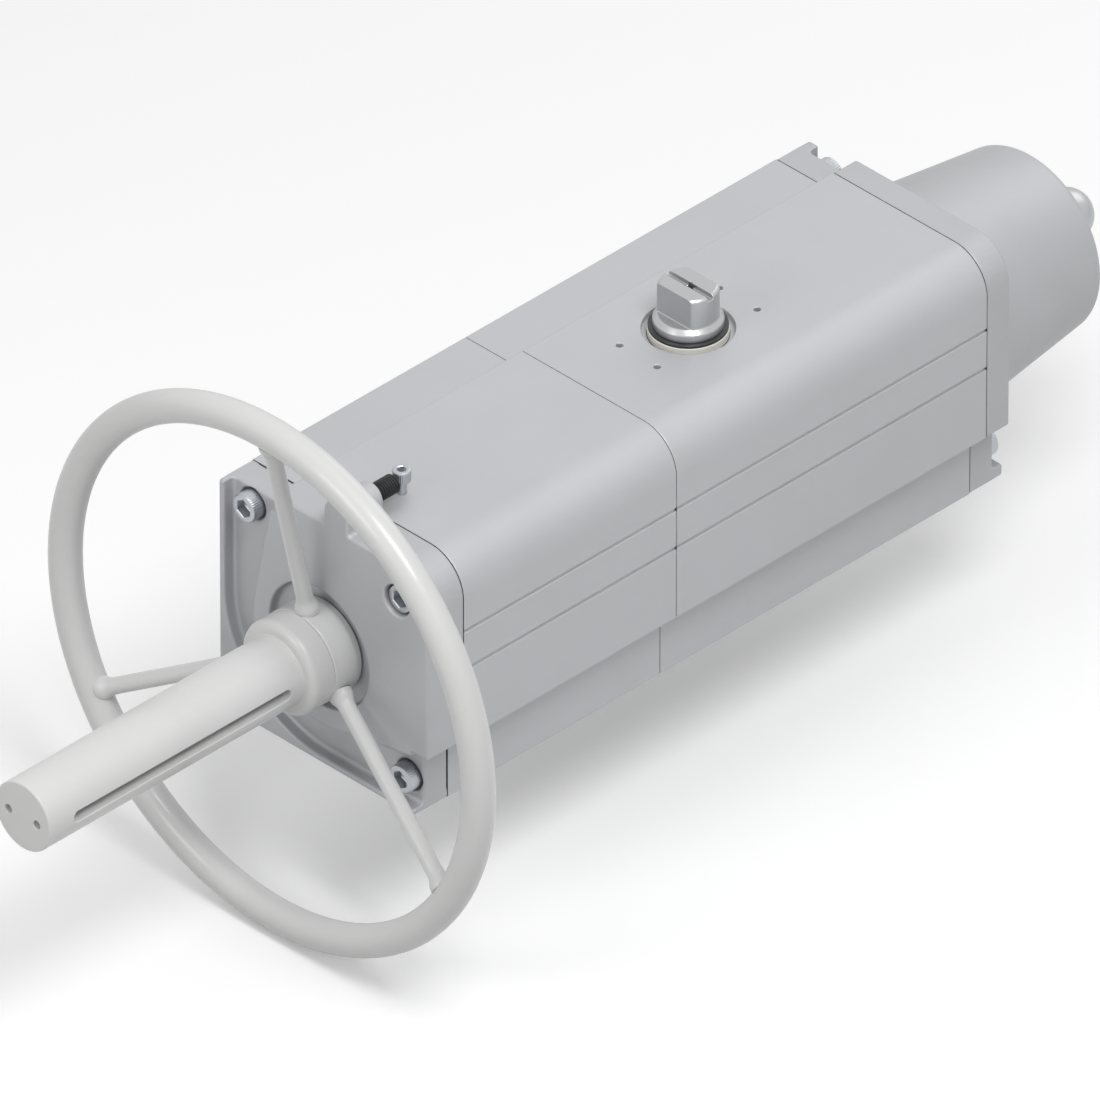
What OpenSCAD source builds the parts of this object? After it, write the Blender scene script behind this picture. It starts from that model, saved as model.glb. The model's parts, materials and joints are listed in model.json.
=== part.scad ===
// Spring-return quarter-turn actuator, scotch yoke type, with a handwheel override.
// Millimetres. The origin is on the mounting face, on the axis of the output shaft.
// X runs along the pistons, away from the handwheel; Y points to the back, Z points up.

/* [Body profile] */
// Height of the piston axis over the mounting face, and its distance from the back face
axis_h = 82; // [80:0.5:86]
// Distance of the piston axis behind the output shaft
axis_back = 14; // [13:0.5:15]
// Radius of the cylinder bore
bore_r = 62.5; // [61.5:0.25:63]
// Piston axis to the near side of the square part of the profile
wing_in = 74.2; // [73:0.1:76]
// Piston axis to the top and front faces
face_out = 87.2; // [85:0.1:90]
// Width of the raised faces on the far side of the piston axis
face_in = 36.5; // [32:0.5:38]
// Radius of the long edge between the top and the front
edge_r = 26; // [20:1:28]
// Radius of the long edge between the back and the mounting face
back_edge_r = 9; // [5:1:12]
// Radius on the other long edges
small_r = 1.5; // [1:0.5:3]
// Width of the two grooves along the front face
groove_w = 2; // [1.5:0.5:3]
// Depth of those grooves
groove_d = 1.5; // [1:0.5:3]
// Heights of the grooves over the piston axis
groove_at = [12.4, 38.9];

/* [Body lengths] */
// Shaft axis to the spring end of the housing
housing_right = 166.8; // [165:0.1:172]
// Shaft axis to the handwheel end of the housing
housing_left = 82.5; // [80:0.5:88]
// Length of the end cylinder
cylinder_len = 169.4; // [164:0.2:176]
// Thickness of both cover flanges
cover_t = 19; // [18:0.5:22]
// How far the covers' edges stand back from the body's
cover_inset = 0.4; // [0.3:0.1:0.8]

/* [Cover screws] */
// Distance of each cover screw from the planes through the piston axis
screw_off = 62.3; // [61.5:0.1:63]
// Radius of the cover screws
screw_r = 6; // [5:0.5:6]
// Radius of a cover screw's head
head_r = 9; // [8.5:0.5:9.5]
// Height of a cover screw's head
head_h = 12; // [10:0.5:12]
// How far a head is sunk into its flange
head_sink = 4.5; // [3:0.5:6]
// Depth of the screw threads in the housing
screw_grip = 22; // [18:1:26]
// Key size of the hexagon sockets
hex_af = 10; // [8:0.5:10]

/* [Handwheel cover] */
// Height of the raised centre over the flange
centre_h = 10; // [9:0.5:12]
// Radius of the raised centre
centre_r = 52.8; // [50:0.2:55]
// Radius of the recess in which the handwheel's hub turns
dish_r = 39.6; // [38.5:0.1:41]
// Depth of that recess
dish_d = 6.6; // [5.5:0.1:7]
// Height of the rib along the back and bottom edges of both covers
rib_h = 8; // [6:0.5:8.5]
// Width of that rib on this cover
rib_w = 4.5; // [4:0.5:5.5]
// Thickness of the front wall at the hub
hub_wall = 3.5; // [3:0.25:4]
// Radius of the pocket for the thrust bearings
pocket_r = 30; // [29:0.5:32]

/* [Spring cover] */
// Width of the rib on this cover
spring_rib_w = 8; // [5:0.5:9]
// Radius of the spring housing at the flange
dome_r1 = 70.3; // [69:0.1:72]
// Radius of the spring housing at its far end
dome_r2 = 57.6; // [56:0.1:60]
// Length of the spring housing from the flange
dome_len = 106; // [102:1:112]
// Radius of its rounded end
dome_round = 7; // [5:0.5:9]
// Wall at the far end
dome_wall = 5; // [4:0.5:6]
// Thickness of the end wall
dome_end_t = 8; // [7:0.5:10]
// Depth of the lip that stops the piston
stop_lip = 2; // [1.5:0.5:3]
// Radius of the round cap on the end
cap_r = 16.3; // [15:0.1:18]
// Length of the cap's straight part
cap_len = 27.6; // [24:0.2:30]
// Radius of the threaded neck of the cap
cap_neck_r = 12; // [10:0.5:13]

/* [Handwheel] */
// Radius of the rim, to the middle of its tube
rim_r = 165; // [150:1:180]
// Radius of the rim's tube
rim_tube_r = 10; // [8:0.5:12]
// Distance of the rim in front of the handwheel cover's raised face
rim_out = 37.4; // [34:0.2:40]
// Radius of a spoke
spoke_r = 5; // [4:0.5:6]
// Number of spokes
spokes = 3; // [3:1:4]
// Radius of the hub and of the collar in front of it
hub_r = 29.7; // [28.5:0.1:31]
// Length of the hub
hub_len = 21.2; // [20:0.2:22.4]
// Distance of the spokes behind the hub's front
spoke_from = 7.3; // [6.5:0.1:8.5]
// Length of the collar
collar_len = 17.3; // [16:0.1:19]
// Radius of the collar's front edge
collar_round = 5; // [3:0.5:6]
// Gap between the hub and the floor of the recess
hub_gap = 1; // [0.8:0.1:1.5]

/* [Spindle and its guard] */
// Outer radius of the guard tube
guard_r = 22; // [21.5:0.5:23]
// Bore radius of the guard tube
guard_bore = 13.5; // [13:0.1:15]
// Room left in the guard tube behind the spindle
guard_room = 14.3; // [12:0.1:20]
// Thickness of its end wall
guard_end = 8; // [6:0.5:10]
// Width of the viewing slot
slot_w = 7; // [5:0.5:8]
// Length of the viewing slot
slot_len = 171; // [150:1:172]
// Distance of the slot from the collar
slot_from = 10.2; // [9:0.2:12]
// Radius of the two spanner holes in the end
spanner_r = 2.75; // [2:0.25:3]
// Distance of each spanner hole from the axis
spanner_off = 11.25; // [10:0.25:12]
// Radius of the spindle thread
spindle_r = 12; // [11:0.5:12]
// Pitch of the left-hand spindle thread
spindle_pitch = 5; // [4:1:6]
// Turns of the handwheel up to the piston at rest
wheel_turns = 10.25; // [8:0.25:10.25]
// Length of the spindle behind its foot
spindle_len = 240.5; // [236:0.5:246]
// Radius of the thrust foot
foot_r = 18; // [16:0.5:20]
// Thickness of the thrust foot
foot_t = 10; // [8:0.5:11]
// Radius of the nut barrel
nut_r = 19; // [18:0.25:19.5]
// Radius of the nut flange
nut_flange_r = 28; // [26:0.5:28.5]
// Thickness of the nut flange
nut_flange_t = 4.5; // [4:0.25:5]
// Thickness of a thrust bearing
bearing_t = 4; // [3.6:0.2:4.2]
// Wall of the hub bush
bush_wall = 3.5; // [3:0.5:4]
// Width of the spindle's keyway
key_w = 6; // [5:0.5:6]
// Depth of the spindle's keyway
key_d = 3; // [2.5:0.5:3.5]

/* [Stop stud] */
// Radius of the threaded stud and its screw thread
stud_r = 6; // [5:0.5:6]
// Length of the stud
stud_len = 27.5; // [24:0.5:27.5]
// Height of the stud's axis over the top face
stud_rise = 9.5; // [9:0.5:12]
// Radius of the boss that holds it
boss_r = 9.5; // [9:0.5:11]
// Distance of the small screw from the cover joint
pin_screw_from = 23.4; // [23:0.2:30]
// Radius of the small screw
pin_screw_r = 3; // [2.5:0.5:3]
// Height of the small screw's neck over the top face
pin_neck_h = 8; // [7:0.5:10]
// Radius of its head
pin_head_r = 5.5; // [5:0.25:5.75]
// Height of its head
pin_head_h = 8; // [6:0.5:9]

/* [Pistons and yoke] */
// Distance of the yoke pin's path behind the shaft axis
pin_arm = 42; // [41:0.5:43]
// Piston travel for a quarter turn
stroke = 78.4; // [77:0.2:79.2]
// Thickness of a piston
piston_t = 24; // [22:0.5:26]
// Gap left between the spring side piston and its stop
end_gap = 2; // [1.5:0.5:3]
// Distance between the inner faces of the pistons
piston_span = 226.2; // [222:0.2:230]
// Radius of the yoke pin
pin_r = 8; // [7:0.5:9]
// Radius of the yoke roller
roller_r = 12; // [11.5:0.5:12]
// Width of each yoke bar
bar_w = 22; // [20:1:24]
// Height of each yoke bar
bar_h = 15.5; // [14:0.5:17]
// Thickness of the lever, and of the roller with its gaps
lever_t = 20; // [18:1:22]
// Gap between the lever and each yoke bar
bar_gap = 2.5; // [1.5:0.5:3]
// Free play of the roller on each side of its slot
roller_play = 2.7; // [2.7:0.1:3]
// Thickness of each arm of the lever
arm_t = 11; // [9:0.5:13]
// Reach of the lever from the shaft axis
lever_reach = 64; // [62:0.5:66]
// Radius of the lever's hub
lever_hub_r = 36; // [34:0.5:38]

/* [Output shaft] */
// Radius of the shaft at the drive socket
shaft_r = 24; // [23.5:0.25:25]
// Radius of the shaft at the top
neck_r = 20.5; // [20:0.25:21]
// Height of the shaft's end over the top face
shaft_up = 30; // [28:1:50]
// Radius of the flattened end
end_r = 17.9; // [17:0.1:18.5]
// Distance across the two flats of the end
end_af = 23.3; // [21:0.1:25]
// Side of the square drive socket
drive_af = 27; // [22:1:27]
// Depth of the drive socket
drive_depth = 32; // [28:1:40]
// Wall of the shaft bushes
shaft_bush_wall = 3; // [2.5:0.5:4]
// Radius of the recess around the shaft in the top face
recess_r = 26.9; // [26.5:0.1:28]
// Depth of that recess
recess_d = 4; // [3:0.5:5]

/* [Interfaces] */
// Bolt circle of the large flange pattern
flange_pcd = 125; // [124:0.5:126]
// Bolt circle of the small flange pattern
flange_pcd_small = 102; // [101:0.5:102]
// Hole radius of the large flange pattern
flange_hole_r = 5.1; // [4.9:0.1:5.2]
// Hole radius of the small flange pattern
flange_hole_r_small = 4.25; // [4:0.05:4.4]
// Radius of the locating recess
spigot_r = 42.5; // [42:0.25:43]
// Depth of the locating recess
spigot_d = 3; // [2.5:0.5:4]
// Spacing of the top holes along the body
top_x = 80; // [78:1:82]
// Spacing of the top holes across the body
top_y = 30; // [28:1:32]
// Radius of the small threaded holes
m5_r = 2.1; // [2:0.05:2.5]
// Spacing of the valve screws along the body
valve_x = 32; // [31:0.5:33]
// Height between the valve screws
valve_z = 24; // [23:0.5:25]
// Spacing of the air ports
port_x = 24; // [23:0.5:25]
// Radius of the air ports
port_r = 5.9; // [5.5:0.1:6]

/* [Springs] */
// Mean radius of the outer spring
outer_r = 42; // [41:0.5:43]
// Wire radius of the outer spring
outer_wire = 5; // [4:0.5:5]
// Turns of the outer spring
outer_turns = 8; // [6:1:9]
// Mean radius of the inner spring
inner_r = 27; // [26:0.5:28]
// Wire radius of the inner spring
inner_wire = 3.5; // [3:0.25:3.5]
// Turns of the inner spring
inner_turns = 11; // [8:1:12]
// Thickness of the spring plates
plate_t = 6; // [5:0.5:7]

/* [Hidden] */
$fn = 96;
// Clearances: running fit, loose fit between moving pieces, free hole round a screw, overshoot of a cut
fit = 0.05;
loose = 0.3;
hole_gap = 0.5;
cut = 1;
// Places along the piston axis
left_end = -housing_left - cylinder_len;
wheel_flange = left_end - cover_t;
wheel_face = wheel_flange - centre_h;
spring_flange = housing_right + cover_t;
dome_end = spring_flange + dome_len;
seat_x = dome_end - dome_end_t;
pin_x = -stroke / 2;
spring_piston_x = housing_right - end_gap - stroke - piston_t;
wheel_piston_x = spring_piston_x - piston_span - piston_t;
dish_x = wheel_face + dish_d;
hub_back = dish_x - hub_gap;
hub_front = hub_back - hub_len;
collar_front = hub_front - collar_len;
rim_x = wheel_face - rim_out;
pocket_x = dish_x + hub_wall;
nut_flange_x = pocket_x + bearing_t + fit;
rear_bearing_x = nut_flange_x + nut_flange_t + fit;
retainer_x = rear_bearing_x + bearing_t;
retainer_t = left_end - 1 - retainer_x;
foot_x = left_end + 0.4;
guard_front = foot_x - spindle_len - guard_room - guard_end;
guard_len = collar_front - guard_front;
spindle_travel = wheel_turns * spindle_pitch;
// Heights
top_z = axis_h + face_out;
lever_z = axis_h - lever_t / 2;
low_bar_z = lever_z - bar_gap - bar_h;
high_bar_z = lever_z + lever_t + bar_gap;
bar_y = pin_arm + 1 - bar_w / 2;
bore_top = axis_h + sqrt(bore_r * bore_r - axis_back * axis_back);
bore_low = axis_h - sqrt(bore_r * bore_r - axis_back * axis_back);
back_y = axis_back + axis_h;
shaft_low = 1.5;
end_low = 10.5;
// Seals
seal_in = bore_r + 2.5;
seal_w = 4;
seal_d = 2.4;
piston_gap = 0.5;
ring_groove = 5;
band_groove = 2.5;
groove_len = 7;

// A shape drawn across the piston axis, [to the back, up], and pushed along X
module along_x(x, len)
    translate([x, axis_back, axis_h]) rotate([90, 0, 90]) linear_extrude(len) children();

// Puts the Z axis of its children on the piston axis, pointing along X from x
module on_axis(x)
    translate([x, axis_back, axis_h]) rotate([0, 90, 0]) children();

module disc(x, len, r) on_axis(x) cylinder(h = len, r = r);

module ring(x, len, r, hole)
    difference() {
        disc(x, len, r);
        disc(x - cut, len + 2 * cut, hole);
    }

module tube_z(z, len, r, hole)
    difference() {
        translate([0, 0, z]) cylinder(h = len, r = r);
        translate([0, 0, z - cut]) cylinder(h = len + 2 * cut, r = hole);
    }

// A rectangle with one radius for each corner, in the order low-low, high-low, high-high, low-high
module softened(low, high, radii)
    difference() {
        translate(low) square(high - low);
        for (k = [0:3])
            if (radii[k] > 0) {
                right = k == 1 || k == 2;
                upper = k >= 2;
                corner = [right ? high.x : low.x, upper ? high.y : low.y];
                inward = [right ? -1 : 1, upper ? -1 : 1];
                difference() {
                    translate(corner + inward * (radii[k] - cut) / 2) square(radii[k] + cut, center = true);
                    translate(corner + inward * radii[k]) circle(radii[k]);
                }
            }
    }

module wing_outline(inset = 0)
    softened([inset - wing_in, inset - axis_h], [axis_h - inset, wing_in - inset],
        [small_r, back_edge_r - inset, small_r, 0]);

module face_outline(inset = 0)
    softened([inset - face_out, inset - face_in], [face_in - inset, face_out - inset],
        [small_r, 0, small_r, edge_r - inset]);

module body_outline(inset = 0) {
    wing_outline(inset);
    face_outline(inset);
}

module body_section()
    difference() {
        body_outline();
        circle(bore_r);
        for (v = groove_at) translate([-face_out - cut, v - groove_w / 2]) square([groove_d + cut, groove_w]);
    }

module at_screws()
    for (u = [-1, 1], v = [-1, 1]) translate([0, u * screw_off, v * screw_off]) children();

module screw_holes(x, len, r)
    at_screws() disc(x, len, r);

// The covers are cast a little smaller than the body's section
module cover_outline()
    body_outline(cover_inset);

// The rib along the back and bottom edges, which stiffens both covers. Its corner turns
// round the piston axis.
module rib_outline(w)
    difference() {
        wing_outline(cover_inset);
        softened([-axis_h - face_out, w - axis_h], [axis_h - w, 2 * face_out], [0, axis_h - w, 0, 0]);
        face_outline(cover_inset);
    }

// Way through the rib's corner to the screw in it
module corner_way()
    translate([screw_off, -screw_off]) rotate(135)
        translate([0, -head_r - 0.7]) square([head_r + 5, 2 * head_r + 1.4]);

// Circle and corner block joined by straight tangents, as the raised centre of the handwheel cover
function tangent_at(p, r) =
    let (a = atan2(p.y, p.x) - acos(r / norm(p))) r * [cos(a), sin(a)];

module centre_outline() {
    far = [face_in, face_out];
    touch = tangent_at(far, centre_r);
    circle(centre_r);
    intersection() {
        polygon([[0, 0], touch, far, [-face_out, face_out], [-face_out, -face_in], [-touch.y, -touch.x]]);
        softened([-face_out, -face_out], [face_out, face_out], [0, 0, 0, edge_r]);
    }
}

module cap_screw(x, len, toward)
    translate([x, 0, 0]) rotate([0, 90 * toward, 0]) {
        difference() {
            translate([0, 0, -head_h]) cylinder(h = head_h, r = head_r);
            translate([0, 0, -head_h - cut]) cylinder(h = head_h / 2 + cut, r = hex_af / 2 / cos(30), $fn = 6);
        }
        cylinder(h = len, r = screw_r);
    }

// Main shell with the bore, the shaft bearings and the interfaces
module housing()
    color("#c6c9cc") difference() {
        along_x(-housing_left, housing_left + housing_right) body_section();
        translate([0, 0, -cut]) cylinder(h = axis_h, r = shaft_r + fit + shaft_bush_wall);
        translate([0, 0, axis_h]) cylinder(h = bore_top - axis_h, r = shaft_r + loose);
        translate([0, 0, axis_h]) cylinder(h = face_out + cut, r = neck_r + fit + shaft_bush_wall);
        translate([0, 0, top_z - recess_d]) cylinder(h = recess_d + cut, r = recess_r);
        translate([0, 0, -cut]) cylinder(h = spigot_d + cut, r = spigot_r);
        for (a = [45:90:315]) rotate(a) {
            translate([flange_pcd / 2, 0, -cut]) cylinder(h = 18 + cut, r = flange_hole_r);
            translate([flange_pcd_small / 2, 0, -cut]) cylinder(h = 15 + cut, r = flange_hole_r_small);
        }
        for (x = [-1, 1], y = [-1, 1])
            translate([x * top_x / 2, y * top_y / 2, top_z - 10]) cylinder(h = 10 + cut, r = m5_r);
        for (x = [-1, 1], z = [-1, 1])
            translate([x * valve_x / 2, back_y + cut, axis_h + z * valve_z / 2])
                rotate([90, 0, 0]) cylinder(h = 9 + cut, r = m5_r);
        for (x = [-1, 1]) translate([x * port_x / 2, back_y + cut, axis_h]) rotate([90, 0, 0])
            cylinder(h = 12 + cut, r = port_r);
        translate([port_x / 2, back_y, axis_h]) rotate([90, 0, 0]) cylinder(h = 30, r = gallery_r);
        gallery(-housing_left - cut, housing_left + cut - port_x / 2);
        screw_holes(-housing_left - cut, screw_grip + cut, screw_r);
        screw_holes(housing_right - screw_grip, screw_grip + cut, screw_r);
        seal_groove(housing_right, -1);
    }

// Air gallery in the back wall, from one port to the handwheel end
gallery_r = 3;
gallery_y = 9;
module gallery(x, len)
    translate([x, back_y - gallery_y, axis_h]) rotate([0, 90, 0]) cylinder(h = len, r = gallery_r);

module seal_groove(x, toward)
    ring(toward < 0 ? x - seal_d : x, seal_d, seal_in + seal_w, seal_in);

module end_cylinder()
    color("#c6c9cc") difference() {
        along_x(left_end, cylinder_len) body_section();
        screw_holes(left_end - cut, cylinder_len + 2 * cut, screw_r + hole_gap);
        gallery(left_end + 4, cylinder_len - 4 + cut);
        translate([left_end + 4 + gallery_r, back_y - gallery_y, axis_h])
            rotate([90, 0, 0]) cylinder(h = 30, r = gallery_r);
        seal_groove(left_end, 1);
        seal_groove(-housing_left, -1);
        translate([left_end + pin_screw_from, 0, top_z - 14]) cylinder(h = 14 + cut, r = pin_screw_r);
    }

module wheel_cover()
    color("#bcbfc1") difference() {
        union() {
            along_x(wheel_flange, cover_t) cover_outline();
            along_x(wheel_flange - rib_h, rib_h) rib_outline(rib_w);
            along_x(wheel_face, centre_h) intersection() {
                cover_outline();
                centre_outline();
            }
            along_x(wheel_face, cover_t + centre_h) {
                translate([-axis_back, face_out + stud_rise]) circle(boss_r);
                translate([-axis_back - boss_r, face_out - 5]) square([2 * boss_r, stud_rise + 5]);
            }
        }
        screw_holes(wheel_flange - cut, cover_t + 2 * cut, screw_r + hole_gap);
        screw_holes(wheel_face - cut, centre_h + head_sink + cut, head_r + 1.5);
        along_x(wheel_flange - rib_h - cut, rib_h + cut) corner_way();
        disc(wheel_face - cut, dish_d + cut, dish_r);
        disc(dish_x - cut, hub_wall + 2 * cut, nut_r + fit + bush_wall);
        disc(pocket_x, left_end - pocket_x + cut, pocket_r);
        translate([left_end - 10, 0, top_z + stud_rise]) rotate([0, 90, 0]) cylinder(h = 10 + cut, r = stud_r);
    }

// Flange and tapered spring housing, one casting
module spring_cover() {
    slope = (dome_r1 - dome_r2) / dome_len;
    lean = atan(slope);
    arc_x = dome_len - dome_round;
    arc_r = dome_r1 - slope * (arc_x + dome_round * sin(lean)) - dome_round * cos(lean);
    inside_len = seat_x - housing_right;
    color("#bcbfc1") difference() {
        union() {
            along_x(housing_right, cover_t) cover_outline();
            along_x(spring_flange, rib_h) rib_outline(spring_rib_w);
            on_axis(spring_flange) rotate_extrude() {
                polygon([[0, -cut], [dome_r1, -cut], [dome_r1, 0],
                    [arc_r + dome_round * cos(lean), arc_x + dome_round * sin(lean)],
                    [arc_r, dome_len], [0, dome_len]]);
                translate([arc_r, arc_x]) circle(dome_round);
            }
        }
        on_axis(housing_right - cut) cylinder(h = inside_len + cut, r1 = bore_r - piston_gap - stop_lip,
            r2 = dome_r2 - dome_wall);
        disc(seat_x - cut, dome_end_t + 2 * cut, cap_neck_r);
        screw_holes(housing_right - cut, cover_t + 2 * cut, screw_r + hole_gap);
        screw_holes(spring_flange - head_sink, rib_h + head_sink + cut, head_r + 1.5);
        along_x(spring_flange, rib_h + cut) corner_way();
    }
}

module dome_cap()
    color("#8d9194") {
        disc(seat_x + 1, dome_end_t - 1, cap_neck_r);
        disc(dome_end, cap_len, cap_r);
        difference() {
            on_axis(dome_end + cap_len) sphere(cap_r);
            disc(dome_end + cap_len - cap_r - cut, cap_r + cut, cap_r + cut);
        }
    }

module face_seal(x) color("#1d1d1f") ring(x, seal_d, seal_in + seal_w, seal_in);

module housing_seal() face_seal(-housing_left - seal_d);

module wheel_cover_seal() face_seal(left_end);

module spring_cover_seal() face_seal(housing_right - seal_d);

// Long screws that clamp the cover and the end cylinder to the housing
module wheel_cover_screws()
    color("#9a9ea2") translate([0, axis_back, axis_h]) at_screws()
        cap_screw(wheel_flange + head_sink, screw_grip - housing_left - wheel_flange - head_sink - cut, 1);

module spring_cover_screws()
    color("#9a9ea2") translate([0, axis_back, axis_h]) at_screws()
        cap_screw(spring_flange - head_sink, cover_t - head_sink + screw_grip - cut, -1);

module upper_bush()
    color("#b08d57") tube_z(bore_top, upper_bush_len, neck_r + fit + shaft_bush_wall, neck_r + fit);

module lower_bush()
    color("#b08d57")
        tube_z(spigot_d + 5, bore_low - spigot_d - 5, shaft_r + fit + shaft_bush_wall, shaft_r + fit);

upper_bush_len = top_z - recess_d - bore_top - 5;

module upper_shaft_seal()
    color("#1d1d1f") tube_z(bore_top + upper_bush_len, 5, neck_r + fit + shaft_bush_wall, neck_r + fit);

module lower_shaft_seal()
    color("#1d1d1f") tube_z(spigot_d, 5, shaft_r + fit + shaft_bush_wall, shaft_r + fit);

// Bearing washer in the recess round the shaft
module shaft_washer()
    color("#d8d5cc") tube_z(top_z - recess_d, recess_d + 1, recess_r - 3.4, neck_r + loose);

module hub_bush()
    color("#b08d57") ring(dish_x, hub_wall, nut_r + fit + bush_wall, nut_r + fit);

module thrust_bearing(x)
    color("#6f7377") {
        ring(x, bearing_t, pocket_r - 3, nut_r + 3);
        for (side = [0, 2]) ring(x + side * bearing_t / 3, bearing_t / 3, pocket_r - loose, nut_r + 1);
    }

module front_thrust_bearing() thrust_bearing(pocket_x);

module rear_thrust_bearing() thrust_bearing(rear_bearing_x);

// Threaded ring that holds the bearings and carries the key
module bearing_retainer()
    color("#8d9194") difference() {
        ring(retainer_x, retainer_t, pocket_r, spindle_r + loose);
        translate([retainer_x - cut, axis_back - key_w / 2, axis_h])
            cube([retainer_t + 2 * cut, key_w, spindle_r + 4]);
    }

module spindle_key()
    color("#8d9194") translate([retainer_x, axis_back - key_w / 2, axis_h + spindle_r - key_d + loose])
        cube([retainer_t, key_w, key_d + 4 - loose]);

module stop_stud()
    color("#3b3d40") translate([left_end - 10, 0, top_z + stud_rise]) rotate([0, 90, 0])
        cylinder(h = stud_len, r = stud_r);

// Small socket screw standing on the top face beside the stud
module stop_screw()
    color("#9a9ea2") translate([left_end + pin_screw_from, 0, top_z]) {
        translate([0, 0, -12]) cylinder(h = 12 + pin_neck_h, r = pin_screw_r);
        translate([0, 0, pin_neck_h]) difference() {
            cylinder(h = pin_head_h, r = pin_head_r);
            translate([0, 0, pin_head_h / 2]) cylinder(h = pin_head_h / 2 + cut, r = 2.9, $fn = 6);
        }
    }

// Centre line of a spring with one closed turn at each end, from 0 to len
function coil_at(t, turns, len, wire) =
    t < 1 ? t * 2 * wire
    : t > turns - 1 ? len - (turns - t) * 2 * wire
    : 2 * wire + (t - 1) * (len - 4 * wire) / (turns - 2);

module coil(x, total, r, wire, turns) {
    sides = 8;
    steps = 18 * turns;
    points = [for (i = [0:steps], j = [0:sides - 1])
        let (a = 20 * i, b = 360 * j / sides, z = coil_at(i / 18, turns, total - 2 * wire, wire))
            [(r + wire * cos(b)) * cos(a), (r + wire * cos(b)) * sin(a), wire + z + wire * sin(b)]];
    skin = [for (i = [0:steps - 1], j = [0:sides - 1])
        let (k = (j + 1) % sides)
            [i * sides + j, (i + 1) * sides + j, (i + 1) * sides + k, i * sides + k]];
    first = [for (j = [0:sides - 1]) j];
    last = [for (j = [sides - 1:-1:0]) steps * sides + j];
    on_axis(x) polyhedron(points, concat(skin, [first, last]));
}

spring_from = spring_piston_x + piston_t + plate_t + loose;
spring_to = seat_x - plate_t - loose;

module outer_spring()
    color("#4a4d52") coil(spring_from, spring_to - spring_from, outer_r, outer_wire, outer_turns);

module inner_spring()
    color("#4a4d52") coil(spring_from, spring_to - spring_from, inner_r, inner_wire, inner_turns);

// Ring with a collar between the two springs; toward is the way the collar points
module spring_washer(x, toward) {
    collar_r = (outer_r - outer_wire + inner_r + inner_wire) / 2;
    ring(x, plate_t, outer_r + outer_wire + 2, inner_r - inner_wire - 2);
    ring(toward > 0 ? x + plate_t : x - plate_t, plate_t, collar_r + 2, collar_r - 2);
}

module spring_seat() color("#8d9194") spring_washer(seat_x - plate_t, -1);

module spring_plate() color("#8d9194") spring_washer(spring_piston_x + piston_t, 1);

module at_bars()
    for (z = [low_bar_z, high_bar_z]) translate([0, bar_y + bar_w / 2, z + bar_h / 2]) children();

// toward is the way the outer face points
module piston(x, toward) {
    seal_x = x + (toward > 0 ? piston_t - groove_len - 3 : 3);
    band_x = x + (toward > 0 ? 3 : piston_t - groove_len - 3);
    difference() {
        disc(x, piston_t, bore_r - piston_gap);
        ring(seal_x, groove_len, bore_r + cut, bore_r - ring_groove);
        ring(band_x, groove_len, bore_r + cut, bore_r - band_groove);
        at_bars() translate([x - cut, 0, 0]) rotate([0, 90, 0])
            cylinder(h = piston_t + 2 * cut, r = bar_screw_r);
        at_bars() translate([toward > 0 ? x + piston_t - bar_head : x - cut, 0, 0])
            rotate([0, 90, 0]) cylinder(h = bar_head + cut, r = 1.6 * bar_screw_r + hole_gap);
    }
}

// Screws between the pistons and the yoke bars
bar_screw_r = 5;
bar_head = 10;
bar_grip = 20;

module wheel_side_piston() color("#a9adb0") piston(wheel_piston_x, -1);

module spring_side_piston() color("#a9adb0") piston(spring_piston_x, 1);

module piston_screws()
    color("#9a9ea2") for (end = [-1, 1]) {
        seat = end > 0 ? spring_piston_x + piston_t - bar_head : wheel_piston_x + bar_head;
        at_bars() translate([seat, 0, 0]) rotate([0, -90 * end, 0]) {
            cylinder(h = piston_t - bar_head + bar_grip, r = bar_screw_r);
            translate([0, 0, 1 - bar_head]) difference() {
                cylinder(h = bar_head - 1, r = 1.6 * bar_screw_r);
                translate([0, 0, -cut]) cylinder(h = bar_head / 2 + cut, r = 4.6, $fn = 6);
            }
        }
    }

module wheel_side_seal()
    color("#1d1d1f") ring(wheel_piston_x + 3, groove_len, bore_r - fit, bore_r - ring_groove);

module spring_side_seal()
    color("#1d1d1f")
        ring(spring_piston_x + piston_t - groove_len - 3, groove_len, bore_r - fit, bore_r - ring_groove);

module wheel_side_guide_band()
    color("#e2dccb")
        ring(wheel_piston_x + piston_t - groove_len - 3, groove_len, bore_r - fit, bore_r - band_groove);

module spring_side_guide_band()
    color("#e2dccb") ring(spring_piston_x + 3, groove_len, bore_r - fit, bore_r - band_groove);

module yoke_bar(z)
    color("#7d8185") difference() {
        translate([wheel_piston_x + piston_t, bar_y, z]) cube([piston_span, bar_w, bar_h]);
        translate([pin_x, pin_arm, z - cut]) cylinder(h = bar_h + 2 * cut, r = pin_r);
        for (x = [wheel_piston_x + piston_t - cut, spring_piston_x - bar_grip])
            translate([x, bar_y + bar_w / 2, z + bar_h / 2]) rotate([0, 90, 0])
                cylinder(h = bar_grip + cut, r = bar_screw_r);
    }

module upper_yoke_bar() yoke_bar(high_bar_z);

module lower_yoke_bar() yoke_bar(low_bar_z);

module yoke_pin()
    color("#c9ccce") translate([pin_x, pin_arm, low_bar_z])
        cylinder(h = high_bar_z + bar_h - low_bar_z, r = pin_r);

module yoke_roller()
    color("#c9ccce") translate([pin_x, pin_arm, lever_z + hole_gap]) difference() {
        cylinder(h = lever_t - 2 * hole_gap, r = roller_r);
        translate([0, 0, -cut]) cylinder(h = lever_t + cut, r = pin_r + fit);
    }

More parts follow.
